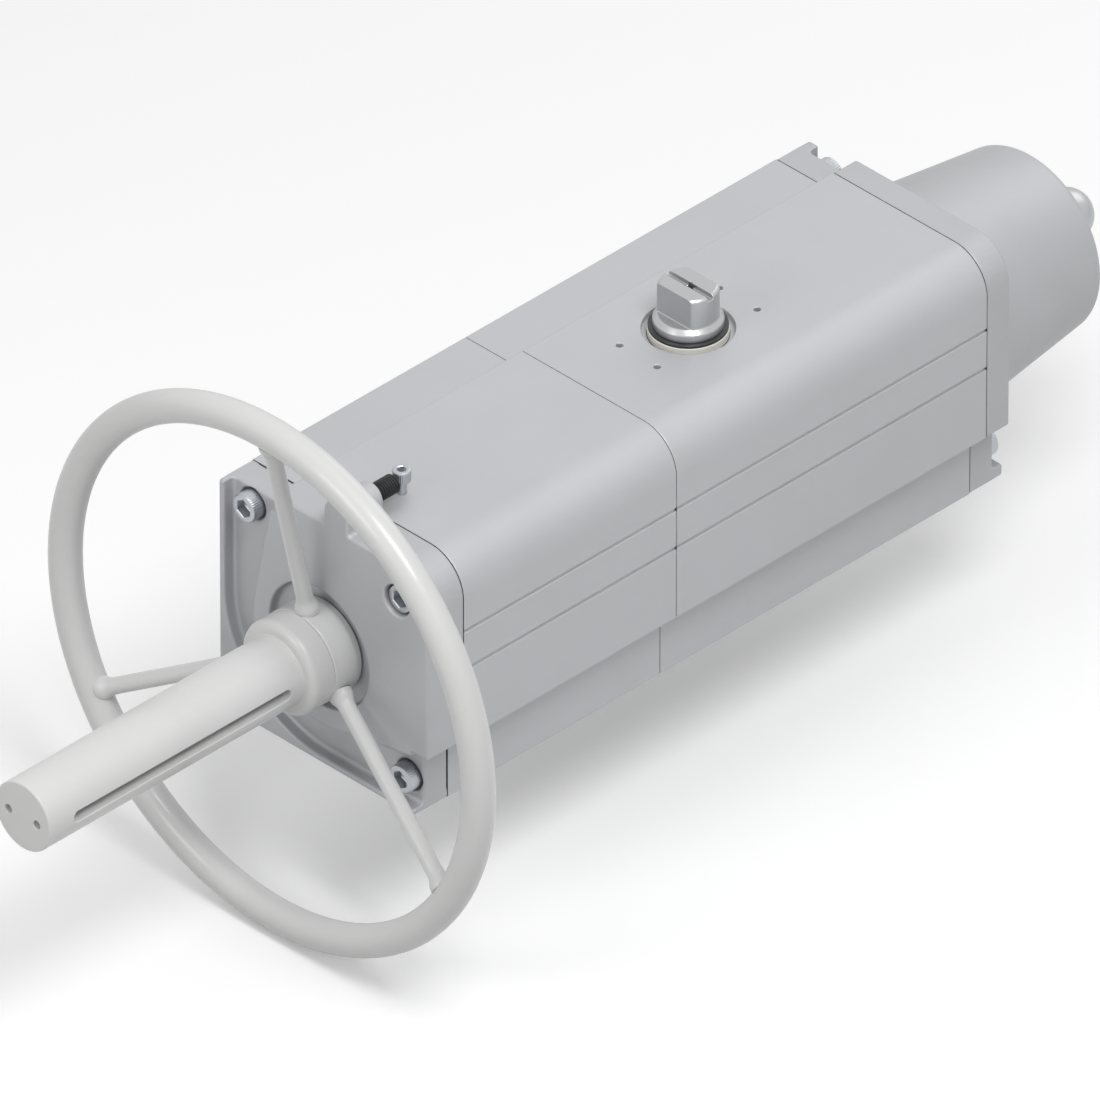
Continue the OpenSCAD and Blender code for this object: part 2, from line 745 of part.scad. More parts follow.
// Lever with an open slot, drawn pointing back and turned to the rest position
module yoke_lever() {
    slot_half = roller_r + roller_play;
    color("#7d8185") rotate(45) translate([0, 0, lever_z]) difference() {
        linear_extrude(lever_t) difference() {
            union() {
                circle(lever_hub_r);
                intersection() {
                    translate([-slot_half - arm_t, 0]) square([2 * (slot_half + arm_t), lever_reach]);
                    circle(lever_reach);
                }
            }
            circle(shaft_r);
            translate([0, pin_arm + 1]) circle(slot_half);
            translate([-slot_half, pin_arm + 1]) square([2 * slot_half, lever_reach]);
        }
        key_block(cut);
    }
}

// Key opposite the lever's slot
lever_key_w = 10;
module key_block(over)
    translate([-lever_key_w / 2, -shaft_r - 4, -over]) cube([lever_key_w, 9, lever_t + 2 * over]);

module lever_key() color("#8d9194") rotate(45) translate([0, 0, lever_z]) key_block(0);

module drive_shaft() {
    neck_z = bore_top - hole_gap;
    end_z = top_z + end_low;
    clip_z = top_z + 1 + fit;
    top = top_z + shaft_up;
    color("#9fa3a6") difference() {
        union() {
            translate([0, 0, shaft_low]) cylinder(h = neck_z - shaft_low, r = shaft_r);
            translate([0, 0, neck_z]) cylinder(h = end_z - 3 - neck_z, r = neck_r);
            translate([0, 0, end_z - 3]) cylinder(h = 3, r1 = neck_r, r2 = end_r);
            intersection() {
                union() {
                    translate([0, 0, end_z]) cylinder(h = top - end_z - 1.5, r = end_r);
                    translate([0, 0, top - 1.5]) cylinder(h = 1.5, r1 = end_r, r2 = end_r - 1.5);
                }
                translate([-end_af / 2, -end_r - cut, end_z]) cube([end_af, 2 * end_r + 2 * cut, shaft_up]);
            }
        }
        translate([-drive_af / 2, -drive_af / 2, -cut]) cube([drive_af, drive_af, drive_depth + cut]);
        tube_z(clip_z, clip_t, neck_r + cut, neck_r - 1.5);
        translate([-2, -end_r - cut, top - 3]) cube([4, 2 * end_r + 2 * cut, 3 + cut]);
        translate([0, 0, top - 14]) cylinder(h = 14 + cut, r = 2.5);
        rotate(45) translate([0, 0, lever_z]) key_block(0);
    }
}

// Retaining ring in its groove, resting on the washer
clip_t = 1.8;
module shaft_circlip()
    color("#3b3d40") difference() {
        tube_z(top_z + 1 + fit, clip_t, neck_r + 2.6, neck_r - 1.5);
        rotate(45) translate([0, -2.5, top_z]) cube([neck_r + 4, 5, 4]);
    }

module rim_shape()
    on_axis(rim_x) rotate_extrude() translate([rim_r, 0]) circle(rim_tube_r);

module handwheel_rim() color("#d5d6d4") rim_shape();

module handwheel_spokes() {
    foot_r0 = hub_r - 4;
    foot_x0 = hub_front + spoke_from;
    tilt = atan((foot_x0 - rim_x) / (rim_r - hub_r));
    color("#d5d6d4") for (k = [0:spokes - 1]) difference() {
        translate([0, axis_back, axis_h]) rotate([90 + k * 360 / spokes, 0, 0])
            translate([foot_x0 + 4 * tan(tilt), foot_r0, 0]) rotate([0, 0, tilt]) rotate([-90, 0, 0])
                cylinder(h = (rim_r - foot_r0) / cos(tilt), r = spoke_r);
        rim_shape();
        disc(hub_front - 20, hub_len + 40, hub_r);
    }
}

module handwheel_hub()
    color("#d5d6d4") difference() {
        ring(hub_front, hub_len, hub_r, nut_r);
        hub_keyway(cut);
    }

module hub_keyway(over)
    translate([hub_front - over, axis_back - 3, axis_h + nut_r - 3]) cube([hub_len + 2 * over, 6, 6]);

module hub_key() color("#8d9194") hub_keyway(0);

// Collar and tube in one piece, which turn with the hub and cover the spindle
module spindle_guard() {
    long = collar_len + guard_len;
    color("#cfd0ce") difference() {
        on_axis(hub_front) rotate([180, 0, 0]) rotate_extrude() difference() {
            union() {
                square([hub_r - collar_round, collar_len]);
                square([hub_r, collar_len - collar_round]);
                translate([hub_r - collar_round, collar_len - collar_round]) circle(collar_round);
                translate([0, collar_len - cut]) square([guard_r, guard_len + cut - 1]);
                square([guard_r - 1, long]);
                translate([guard_r - 1, long - 1]) circle(1);
            }
            translate([-cut - hub_r, -cut]) square([cut + hub_r, long + 2 * cut]);
            translate([-cut, -cut]) square([guard_bore + cut, long - guard_end + cut]);
            translate([-cut, -cut]) square([nut_r + cut, nut_in_collar + cut]);
        }
        translate([collar_front - slot_from, axis_back, axis_h]) rotate([90, 0, 0]) viewing_slot();
        for (y = [-1, 1]) translate([guard_front - cut, axis_back + y * spanner_off, axis_h])
            rotate([0, 90, 0]) cylinder(h = 6 + cut, r = spanner_r);
    }
}

// Slot with round ends, cut from the axis outwards to the front
module viewing_slot()
    linear_extrude(guard_r + cut) {
        translate([slot_w / 2 - slot_len, -slot_w / 2]) square([slot_len - slot_w, slot_w]);
        for (x = [slot_w / 2 - slot_len, -slot_w / 2]) translate([x, 0]) circle(slot_w / 2);
    }

nut_in_collar = 9.5;
module spindle_nut()
    color("#b08d57") difference() {
        union() {
            disc(hub_front - nut_in_collar, retainer_x - fit - hub_front + nut_in_collar, nut_r);
            disc(nut_flange_x, nut_flange_t, nut_flange_r);
        }
        disc(hub_front - nut_in_collar - cut, retainer_x - hub_front + nut_in_collar + 2 * cut,
            spindle_r + fit);
        hub_keyway(0);
    }

module spindle()
    color("#a9adb0") difference() {
        union() {
            disc(foot_x - spindle_len, spindle_len, spindle_r);
            disc(foot_x - cut, foot_t * 0.6 + cut, spindle_r / 2);
        }
        translate([retainer_x - spindle_travel - 5, axis_back - key_w / 2 - fit, axis_h + spindle_r - key_d])
            cube([foot_x - retainer_x + spindle_travel + 5 + cut, key_w + 2 * fit, key_d + cut]);
    }

module thrust_foot()
    color("#7d8185") difference() {
        disc(foot_x, foot_t, foot_r);
        disc(foot_x - cut, foot_t * 0.6 + cut, spindle_r / 2);
    }

housing();
end_cylinder();
wheel_cover();
spring_cover();
dome_cap();
housing_seal();
wheel_cover_seal();
spring_cover_seal();
wheel_cover_screws();
spring_cover_screws();
upper_bush();
lower_bush();
upper_shaft_seal();
lower_shaft_seal();
shaft_washer();
hub_bush();
front_thrust_bearing();
rear_thrust_bearing();
bearing_retainer();
spindle_key();
stop_stud();
stop_screw();
outer_spring();
inner_spring();
spring_seat();
wheel_side_piston();
spring_side_piston();
upper_yoke_bar();
lower_yoke_bar();
piston_screws();
wheel_side_seal();
spring_side_seal();
wheel_side_guide_band();
spring_side_guide_band();
yoke_pin();
spring_plate();
yoke_roller();
drive_shaft();
yoke_lever();
lever_key();
shaft_circlip();
handwheel_rim();
handwheel_spokes();
handwheel_hub();
hub_key();
spindle_guard();
spindle_nut();
spindle();
thrust_foot();
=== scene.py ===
import json
import math
import bmesh
import bpy
import numpy as np
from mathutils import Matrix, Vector


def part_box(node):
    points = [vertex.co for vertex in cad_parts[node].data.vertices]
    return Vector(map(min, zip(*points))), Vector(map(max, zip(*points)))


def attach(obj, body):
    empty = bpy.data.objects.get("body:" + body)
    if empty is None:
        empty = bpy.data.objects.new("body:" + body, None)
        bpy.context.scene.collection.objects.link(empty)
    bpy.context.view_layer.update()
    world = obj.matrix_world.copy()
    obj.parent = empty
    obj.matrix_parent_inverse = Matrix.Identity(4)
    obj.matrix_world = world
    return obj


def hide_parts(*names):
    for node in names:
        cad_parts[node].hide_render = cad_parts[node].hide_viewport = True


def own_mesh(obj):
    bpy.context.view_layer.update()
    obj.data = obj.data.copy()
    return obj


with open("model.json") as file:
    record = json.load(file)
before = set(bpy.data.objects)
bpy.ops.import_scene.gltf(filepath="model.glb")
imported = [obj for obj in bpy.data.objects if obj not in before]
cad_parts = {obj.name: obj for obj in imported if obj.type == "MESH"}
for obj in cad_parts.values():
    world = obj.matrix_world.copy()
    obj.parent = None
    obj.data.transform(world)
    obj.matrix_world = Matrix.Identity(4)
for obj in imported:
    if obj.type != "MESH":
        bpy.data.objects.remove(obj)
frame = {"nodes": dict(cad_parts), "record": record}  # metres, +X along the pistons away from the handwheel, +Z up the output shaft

scene = bpy.context.scene
nodes = frame["nodes"]
mm = 0.001
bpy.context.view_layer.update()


# Meshes worked out as whole arrays

# Lengths in the tables of this script are in mm where they say nothing else, angles in degrees. Doubles
# closer than weld are merged, and faces that turn less than flat are joined.
meshRules = {"weld": 0.002, "sliver": 0.001, "flat": 0.4, "edge": 28}


def makePiece(name, points, faces, smoothAngle=35):
    # A mesh object from arrays of points and faces, its doubles merged and its normals outward.
    mesh = bpy.data.meshes.new(name)
    mesh.from_pydata(np.asarray(points, float).tolist(), [], np.asarray(faces).tolist())
    tidyMesh(mesh, smoothAngle)
    piece = bpy.data.objects.new(name, mesh)
    scene.collection.objects.link(piece)
    return piece


def tidyMesh(mesh, smoothAngle):
    bm = bmesh.new()
    bm.from_mesh(mesh)
    bmesh.ops.remove_doubles(bm, verts=bm.verts, dist=meshRules["weld"] * mm)
    bmesh.ops.dissolve_degenerate(bm, edges=bm.edges, dist=meshRules["sliver"] * mm)
    bmesh.ops.recalc_face_normals(bm, faces=bm.faces)
    bm.to_mesh(mesh)
    bm.free()
    mesh.shade_smooth()
    mesh.set_sharp_from_angle(angle=math.radians(smoothAngle))


def gridFaces(rows, cols, wrap=0):
    # Quads of a grid whose last column meets its first one, wrap rows further on as a helix does
    r, c = np.meshgrid(np.arange(rows - 1 - wrap), np.arange(cols), indexing="ij")
    here = r * cols + c
    there = r * cols + (c + 1) % cols + np.where(c == cols - 1, wrap * cols, 0)
    return np.stack([here, there, there + cols, here + cols], -1).reshape(-1, 4)


def around(axis, along, radius, angle):
    # Points at a distance and an angle from an axis parallel to X, Y or Z. The axis is its letter and where
    # it lies in the other two directions, the next letter first. Angle 0 points along that one.
    k = "xyz".index(axis[0])
    out = np.zeros(np.broadcast(along, radius, angle).shape + (3,))
    out[..., k] = along
    out[..., (k + 1) % 3] = axis[1][0] + radius * np.cos(angle)
    out[..., (k + 2) % 3] = axis[1][1] + radius * np.sin(angle)
    return out


def turned(name, axis, profile, steps=128, smoothAngle=35):
    # A turned piece: each (along, radius) of the profile goes once round the axis. A profile that starts and
    # ends on the axis is closed.
    profile = np.asarray(profile, float)
    angle = np.linspace(0, 2 * math.pi, steps, endpoint=False)[None, :]
    radius = np.repeat(profile[:, 1:], steps, 1)
    points = around(axis, profile[:, :1], radius, angle).reshape(-1, 3)
    return makePiece(name, points, gridFaces(len(profile), steps), smoothAngle)


def roundedLine(corners, steps=6):
    # A line through corners (a, b, radius), each corner turned into an arc of its radius.
    corners = np.asarray(corners, float)
    out = [corners[0, :2]]
    for before, here, after in zip(corners[:-2], corners[1:-1], corners[2:]):
        back, on = before[:2] - here[:2], after[:2] - here[:2]
        back, on = back / np.linalg.norm(back), on / np.linalg.norm(on)
        half = math.acos(np.clip(back @ on, -1, 1)) / 2
        if here[2] <= 0 or half > 0.5 * math.pi - 0.01:
            out.append(here[:2])
            continue
        reach = here[2] / math.tan(half)
        middle = here[:2] + (back + on) / np.linalg.norm(back + on) * here[2] / math.sin(half)
        start, end = here[:2] + back * reach - middle, here[:2] + on * reach - middle
        turn = math.atan2(start[0] * end[1] - start[1] * end[0], start @ end)
        for t in np.linspace(0, turn, steps):
            c, s = math.cos(t), math.sin(t)
            out.append(middle + [c * start[0] - s * start[1], s * start[0] + c * start[1]])
    out.append(corners[-1, :2])
    return np.array(out)


def joined(name, parts, smoothAngle):
    # One piece from several pairs of points and faces
    allPoints, allFaces = [], []
    for points, faces in parts:
        allFaces.append(faces + sum(len(p) for p in allPoints))
        allPoints.append(points)
    return makePiece(name, np.concatenate(allPoints), np.concatenate(allFaces), smoothAngle)


def threadRod(name, axis, start, end, major, s):
    # A threaded rod. The profile's points wind round as along = (turn + share + angle / full turn) * pitch,
    # so the grid follows the helix. Past the ends the points fall on one ring, which a flat end closes.
    # The crest fades to the root over a share of a pitch before each end.
    pitch, flats, columns = s["pitch"] * mm, s["flats"], s["columns"]
    root = major - s["depth"] * pitch
    turns = int((end - start) / pitch) + 3
    share = (np.arange(turns)[:, None] - 1.5 + np.array(flats)[None, :]).reshape(-1, 1)
    crest = np.tile([major, major, root, root], turns)[:, None]
    angle = np.linspace(0, 2 * math.pi, columns, endpoint=False)[None, :]
    along = np.clip(start + (share + angle / (2 * math.pi)) * pitch, start, end)
    fade = np.clip(np.minimum(along - start, end - along) / (s["fade"] * pitch), 0, 1)
    radius = root + (crest - root) * fade
    points = around(axis, along, radius, s["hand"] * angle).reshape(-1, 3)
    faces = gridFaces(len(share), columns, wrap=len(flats))
    piece = makePiece(name, points, faces, 30)
    closeEnds(piece.data)
    return piece


def closeEnds(mesh):
    bm = bmesh.new()
    bm.from_mesh(mesh)
    bmesh.ops.holes_fill(bm, edges=[e for e in bm.edges if e.is_boundary], sides=0)
    bmesh.ops.recalc_face_normals(bm, faces=bm.faces)
    bm.to_mesh(mesh)
    bm.free()


def softCopy(name, node, width, segments=2, share=None):
    # The node's shape with rounded edges. Its triangles are joined to flat faces, and each sharp edge is
    # bevelled by width times what share gives for the edges' middles, 1 where there is no share.
    edgeAngle = math.radians(meshRules["edge"])
    mesh = nodes[node].data.copy()
    mesh.name = name
    piece = bpy.data.objects.new(name, mesh)
    scene.collection.objects.link(piece)
    bm = bmesh.new()
    bm.from_mesh(mesh)
    bmesh.ops.remove_doubles(bm, verts=bm.verts, dist=meshRules["weld"] * mm)
    flatAngle = math.radians(meshRules["flat"])
    bmesh.ops.dissolve_limit(bm, angle_limit=flatAngle, verts=bm.verts, edges=bm.edges)
    turns = np.array([e.calc_face_angle(0.0) if e.is_manifold else 0.0 for e in bm.edges])
    bm.to_mesh(mesh)
    bm.free()
    ends = np.zeros(len(mesh.vertices) * 3)
    mesh.vertices.foreach_get("co", ends)
    pairs = np.zeros(len(mesh.edges) * 2, int)
    mesh.edges.foreach_get("vertices", pairs)
    middles = ends.reshape(-1, 3)[pairs.reshape(-1, 2)].mean(1)
    weights = np.where(turns > edgeAngle, 1.0 if share is None else share(middles), 0.0)
    layer = mesh.attributes.new("bevel_weight_edge", "FLOAT", "EDGE")
    layer.data.foreach_set("value", weights.astype(np.float32))
    mesh.shade_smooth()
    mesh.set_sharp_from_angle(angle=edgeAngle)
    bevel = piece.modifiers.new("soft edges", "BEVEL")
    bevel.width = width
    bevel.segments = segments
    bevel.limit_method = "WEIGHT"
    bevel.use_clamp_overlap = False
    bevel.loop_slide = False
    bevel.miter_outer = "MITER_SHARP"
    even = piece.modifiers.new("even faces", "WEIGHTED_NORMAL")
    even.weight = 80
    even.keep_sharp = True
    return piece


def place(piece, body, look, slot, *stoodFor):
    # Gives a new piece its material and its body, and hides the nodes that it stands for. The slot is not
    # used.
    piece.data.materials.clear()
    piece.data.materials.append(look)
    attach(piece, body)
    if stoodFor:
        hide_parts(*stoodFor)
    return piece


# Shader groups that several finishes share

def newGroup(name, inputs, outputs):
    group = bpy.data.node_groups.new(name, "ShaderNodeTree")
    for label, kind, value in inputs:
        socket = group.interface.new_socket(label, in_out="INPUT", socket_type=kind)
        if value is not None:
            socket.default_value = value
    for label, kind in outputs:
        group.interface.new_socket(label, in_out="OUTPUT", socket_type=kind)
    return group, Graph(group)


class Graph:
    # A short way to write nodes and their links.

    def __init__(self, tree):
        self.tree = tree

    def add(self, kind, settings=None, **inputs):
        node = self.tree.nodes.new(kind)
        for key, value in (settings or {}).items():
            setattr(node, key, value)
        for key, value in inputs.items():
            self.feed(node, key, value)
        return node

    def feed(self, node, key, value):
        numbered = key[0] == "i" and key[1:].isdigit()
        socket = node.inputs[int(key[1:]) if numbered else key.replace("_", " ")]
        if isinstance(value, bpy.types.NodeSocket):
            self.tree.links.new(value, socket)
        else:
            socket.default_value = value

    def math(self, operation, a, b=0.0, clamp=False):
        node = self.add("ShaderNodeMath", {"operation": operation, "use_clamp": clamp}, i0=a, i1=b)
        return node.outputs[0]

    def mix(self, factor, a, b):
        node = self.add("ShaderNodeMix", {"data_type": "RGBA"})
        for index, value in ((0, factor), (6, a), (7, b)):
            self.feed(node, f"i{index}", value)
        return node.outputs[2]

    def noise(self, vector, scale, detail=3.0, roughness=0.5):
        node = self.add("ShaderNodeTexNoise", None, Vector=vector, Scale=scale, Detail=detail,
                        Roughness=roughness)
        return node.outputs["Fac"]


def buildGroups():
    groups = {}
    vectorIn, valueOut = ("Vector", "NodeSocketVector", None), ("Value", "NodeSocketFloat")
    # Fine grain of a blasted or coated skin: two noises, one 3.7 times finer
    group, g = newGroup("fineGrain", [vectorIn, ("Scale", "NodeSocketFloat", 400.0)], [valueOut])
    given, out = g.add("NodeGroupInput"), g.add("NodeGroupOutput")
    coarse = g.noise(given.outputs["Vector"], given.outputs["Scale"], 4.0)
    finer = g.noise(given.outputs["Vector"], g.math("MULTIPLY", given.outputs["Scale"], 3.7), 2.0)
    g.feed(out, "Value", g.math("ADD", g.math("MULTIPLY", coarse, 0.6), g.math("MULTIPLY", finer, 0.4)))
    groups["fineGrain"] = group
    # Long lines of a drawn or milled face: noise stretched along one direction
    group, g = newGroup("drawnLines", [vectorIn, ("Stretch", "NodeSocketVector", (0.02, 1.0, 1.0)),
                                       ("Scale", "NodeSocketFloat", 1500.0)], [valueOut])
    given, out = g.add("NodeGroupInput"), g.add("NodeGroupOutput")
    pulled = g.add("ShaderNodeVectorMath", {"operation": "MULTIPLY"}, i0=given.outputs["Vector"],
                   i1=given.outputs["Stretch"])
    g.feed(out, "Value", g.noise(pulled.outputs[0], given.outputs["Scale"], 2.0, 0.6))
    groups["drawnLines"] = group
    # Rings of a turned face: noise over the distance from an axis and the place along it
    group, g = newGroup("turnedRings", [vectorIn, ("Scale", "NodeSocketFloat", 2500.0)], [valueOut])
    given, out = g.add("NodeGroupInput"), g.add("NodeGroupOutput")
    parts = g.add("ShaderNodeSeparateXYZ", None, Vector=given.outputs["Vector"])
    square = g.math("ADD", g.math("POWER", parts.outputs["Y"], 2.0), g.math("POWER", parts.outputs["Z"], 2.0))
    rings = g.add("ShaderNodeCombineXYZ", None, X=g.math("SQRT", square), Y=parts.outputs["X"])
    g.feed(out, "Value", g.noise(rings.outputs[0], given.outputs["Scale"], 2.0, 0.7))
    groups["turnedRings"] = group
    # Slow change of tone across a surface, as handling and light soil leave it
    group, g = newGroup("slowTone", [vectorIn, ("Scale", "NodeSocketFloat", 9.0),
                                     ("Color", "NodeSocketColor", (0.8, 0.8, 0.8, 1.0)),
                                     ("Depth", "NodeSocketFloat", 0.06)],
                        [("Color", "NodeSocketColor"), ("Mask", "NodeSocketFloat")])
    given, out = g.add("NodeGroupInput"), g.add("NodeGroupOutput")
    cloud = g.noise(given.outputs["Vector"], given.outputs["Scale"], 5.0, 0.62)
    mask = g.add("ShaderNodeMapRange", {"interpolation_type": "SMOOTHSTEP"}, Value=cloud, From_Min=0.3,
                 From_Max=0.7)
    shade = g.math("MULTIPLY", mask.outputs[0], given.outputs["Depth"])
    darker = g.mix(shade, given.outputs["Color"], (0.18, 0.17, 0.16, 1.0))
    g.feed(out, "Color", darker)
    g.feed(out, "Mask", mask.outputs[0])
    groups["slowTone"] = group
    return groups


groups = buildGroups()


def makeLook(name, color, metallic, roughness, pattern="fineGrain", bump=0.1, height=0.02 * mm, tone=0.06,
             spread=0.12, centre=(0, 0, 0), turn=(0, 0, 0), coat=0.0, **values):
    # A material: slow tone on the colour, one pattern on roughness and bump. The pattern reads Object
    # coordinates, moved to centre and turned.
    look = bpy.data.materials.new(name)
    look.use_nodes = True
    g = Graph(look.node_tree)
    shader = next(n for n in look.node_tree.nodes if n.type == "BSDF_PRINCIPLED")
    place3 = g.add("ShaderNodeTexCoord").outputs["Object"]
    if any(centre) or any(turn):
        moved = g.add("ShaderNodeMapping", {"vector_type": "TEXTURE"}, Vector=place3, Location=centre,
                      Rotation=turn)
        place3 = moved.outputs[0]
    toned = g.add("ShaderNodeGroup", {"node_tree": groups["slowTone"]}, Vector=place3, Depth=tone)
    toned.inputs["Color"].default_value = (*color, 1.0)
    marks = g.add("ShaderNodeGroup", {"node_tree": groups[pattern]}, Vector=place3)
    for key, value in values.items():
        marks.inputs[key.capitalize()].default_value = value
    g.feed(shader, "Base Color", toned.outputs["Color"])
    shader.inputs["Metallic"].default_value = metallic
    rough = g.add("ShaderNodeMapRange", None, Value=marks.outputs["Value"], From_Min=0.25, From_Max=0.75,
                  To_Min=roughness - spread / 2, To_Max=roughness + spread / 2)
    g.feed(shader, "Roughness", rough.outputs[0])
    relief = g.add("ShaderNodeBump", None, Strength=bump, Distance=height, Height=marks.outputs["Value"])
    g.feed(shader, "Normal", relief.outputs[0])
    shader.inputs["Coat Weight"].default_value = coat
    return look


pistonAxis = (-0.25, 0.014, 0.082)  # a point on it, in metres
upright = (0, -math.pi / 2, 0)  # brings the rings' axis from X to Z
steelColor = (0.50, 0.51, 0.52)
looks = {
    "anodised": makeLook("anodised body", (0.55, 0.56, 0.58), 0.3, 0.48, "drawnLines", 0.25, scale=1800.0,
                         tone=0.05),
    "cast": makeLook("cast cover", (0.52, 0.53, 0.55), 0.3, 0.5, "fineGrain", 0.55, 0.05 * mm, scale=900.0,
                     tone=0.08),
    "coated": makeLook("coated wheel", (0.73, 0.73, 0.725), 0.0, 0.36, "fineGrain", 0.35, 0.04 * mm,
                       scale=500.0, tone=0.04, coat=0.25),
    "zinc": makeLook("zinc screw", (0.50, 0.52, 0.55), 0.9, 0.34, "fineGrain", 0.15, scale=1200.0, tone=0.12),
    "dark": makeLook("black oxide", (0.07, 0.072, 0.075), 0.75, 0.40, "fineGrain", 0.2, scale=1500.0,
                     tone=0.1),
    "turnedSteel": makeLook("turned steel", steelColor, 0.95, 0.32, "turnedRings", 0.2, scale=3000.0,
                            centre=pistonAxis),
    "shaftSteel": makeLook("shaft steel", steelColor, 0.9, 0.34, "turnedRings", 0.2, scale=3000.0,
                           turn=upright),
    "milledSteel": makeLook("milled steel", steelColor, 0.9, 0.35, "drawnLines", 0.2, scale=2500.0),
    "piston": makeLook("turned aluminium", (0.74, 0.75, 0.76), 0.9, 0.3, "turnedRings", 0.25, scale=2500.0,
                       centre=pistonAxis),
    "bronze": makeLook("sintered bronze", (0.60, 0.42, 0.22), 0.9, 0.38, "fineGrain", 0.3, scale=2000.0,
                       tone=0.15),
    "polymer": makeLook("bearing polymer", (0.80, 0.78, 0.71), 0.0, 0.45, "fineGrain", 0.15, scale=900.0),
    "rubber": makeLook("black rubber", (0.03, 0.03, 0.032), 0.0, 0.62, "fineGrain", 0.3, scale=1400.0),
    "springWire": makeLook("spring wire", (0.16, 0.165, 0.175), 0.85, 0.35, "fineGrain", 0.2, scale=1600.0,
                           tone=0.15),
}
print("materials:", len(looks))

slotLooks = {"anodised_body": "anodised", "cast_cover": "cast", "coated_wheel": "coated",
             "zinc_screw": "zinc", "dark_steel": "dark", "machined_steel": "milledSteel",
             "piston_metal": "piston", "bearing_bronze": "bronze", "bearing_polymer": "polymer",
             "seal_rubber": "rubber", "spring_steel": "springWire"}
nodeSlots = {row["node"]: row["material_slot"] for row in frame["record"]["subparts"]}
nodeBodies = {n: body for body, members in frame["record"]["behaviour"]["bodies"].items() for n in members}
for name, node in nodes.items():
    node.data.materials.clear()
    node.data.materials.append(looks[slotLooks[nodeSlots[name]]])
    node.data.shade_smooth()


# Body sections and other pieces that keep their shape and get rounded edges

axisY, axisZ = pistonAxis[1:]
# Distances in mm, and the shares of the rounding that the long edges and the bore's ends get
edgeShape = {"outside": 69.5, "bore": 62.6, "endReach": 0.1, "longEdges": 0.5, "boreEdges": 0.4}


def fromAxis(middles):
    return np.hypot(middles[:, 1] - axisY, middles[:, 2] - axisZ)


def shellEdges(node):
    # The ends of a body section are rounded fully, its other outer edges half, and of the inner edges only
    # the bore's ends
    low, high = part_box(node)
    s = edgeShape

    def share(middles):
        toEnd = np.minimum(abs(middles[:, 0] - low.x), abs(middles[:, 0] - high.x))
        atEnds = toEnd < s["endReach"] * mm
        atBore = atEnds & (fromAxis(middles) < s["bore"] * mm)
        outer = np.where(atEnds, 1.0, s["longEdges"])
        return np.where(fromAxis(middles) > s["outside"] * mm, outer, np.where(atBore, s["boreEdges"], 0.0))
    return share


wheelJoint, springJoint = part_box("end_cylinder")[0].x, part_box("housing")[1].x
softened = {
    "housing": ("bodyHousing", 0.9, 2, "anodised", shellEdges("housing")),
    "end_cylinder": ("bodyEndCylinder", 0.9, 2, "anodised", shellEdges("end_cylinder")),
    "drive_shaft": ("outputShaft", 0.5, 3, "shaftSteel", None),
    "handwheel_hub": ("wheelHub", 1.2, 3, "coated", None),
    "shaft_washer": ("shaftWasher", 0.4, 2, "polymer", None),
    "shaft_circlip": ("shaftCirclip", 0.25, 2, "dark", None),
}
for node, (name, width, segments, look, share) in softened.items():
    piece = softCopy(name, node, width * mm, segments, share)
    place(piece, nodeBodies[node], looks[look], nodeSlots[node], node)
print("soft-edged copies:", len(softened))


# Edges of the gaskets, seen as dark lines in the joints of the body

section = {"wingIn": 74.2, "wingOut": 82, "wingTop": 74.2, "faceOut": 87.2, "faceIn": 36.5, "edge": 26,
           "back": 9, "small": 1.5}


def sectionLine(inset):
    # Outline of the body across the piston axis, moved inwards: a square and the raised faces
    s = {k: v * mm for k, v in section.items()}
    square = [(-s["wingIn"], -s["wingOut"], s["small"]), (s["wingOut"], -s["wingOut"], s["back"]),
              (s["wingOut"], s["wingTop"], s["small"])]
    raised = [(s["faceIn"], s["wingTop"], 0), (s["faceIn"], s["faceOut"], s["small"]),
              (-s["faceOut"], s["faceOut"], s["edge"]), (-s["faceOut"], -s["faceIn"], s["small"]),
              (-s["wingIn"], -s["faceIn"], 0)]
    corners = np.array(square + raised)
    corners[:, :2] -= inset * np.sign(corners[:, :2])
    corners[:, 2] = np.maximum(corners[:, 2] - inset, 0)
    loop = np.vstack([(corners[-1] + corners[0]) / 2, corners, (corners[-1] + corners[0]) / 2])
    loop[[0, -1], 2] = 0
    return roundedLine(loop, 12)[:-1]


gasketRings = [(0.35, -0.35), (0.35, 0.35), (0.9, 0.3), (0.9, -0.3), (0.35, -0.35)]  # inset and side, mm


def makeGasketEdge(name, x):
    # A thin band round the joint: two outlines, each at both sides of the joint's plane
    rows = []
    for inset, side in gasketRings:
        line = sectionLine(inset * mm)
        across = np.full(len(line), x + side * mm)
        rows.append(np.column_stack([across, axisY + line[:, 0], axisZ + line[:, 1]]))
    points = np.array(rows)
    piece = makePiece(name, points.reshape(-1, 3), gridFaces(len(gasketRings), points.shape[1]), 30)
    place(piece, "housing", looks["rubber"], "seal_rubber")


makeGasketEdge("wheelJointLine", wheelJoint)
makeGasketEdge("middleJointLine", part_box("housing")[0].x)
makeGasketEdge("springJointLine", springJoint)
print("joint lines")


# Cast covers: a field of distances gives every outer edge its rounding and every inner corner its fillet

coverShape = {"inset": 0.4, "flange": 19, "ribHeight": 8, "edge": 1.5, "fillet": 3.0, "brink": 1.5,
              "cell": 0.96, "screwOff": 62.3, "pocket": 10.0, "sink": 4.5, "screwHole": 6.5, "way": 9.7,
              "wayLength": 14, "beyond": 160, "wheelRib": 4.5, "centreHeight": 10, "centre": 52.8,
              "dish": 39.6, "dishDepth": 6.6, "bush": 22.55, "bearing": 30, "frontWall": 3.5, "boss": 9.5,
              "bossFoot": 10, "stud": 6, "studOff": 14, "studRise": 9.5, "studDepth": 10, "springRib": 8,
              "springHole": 61}


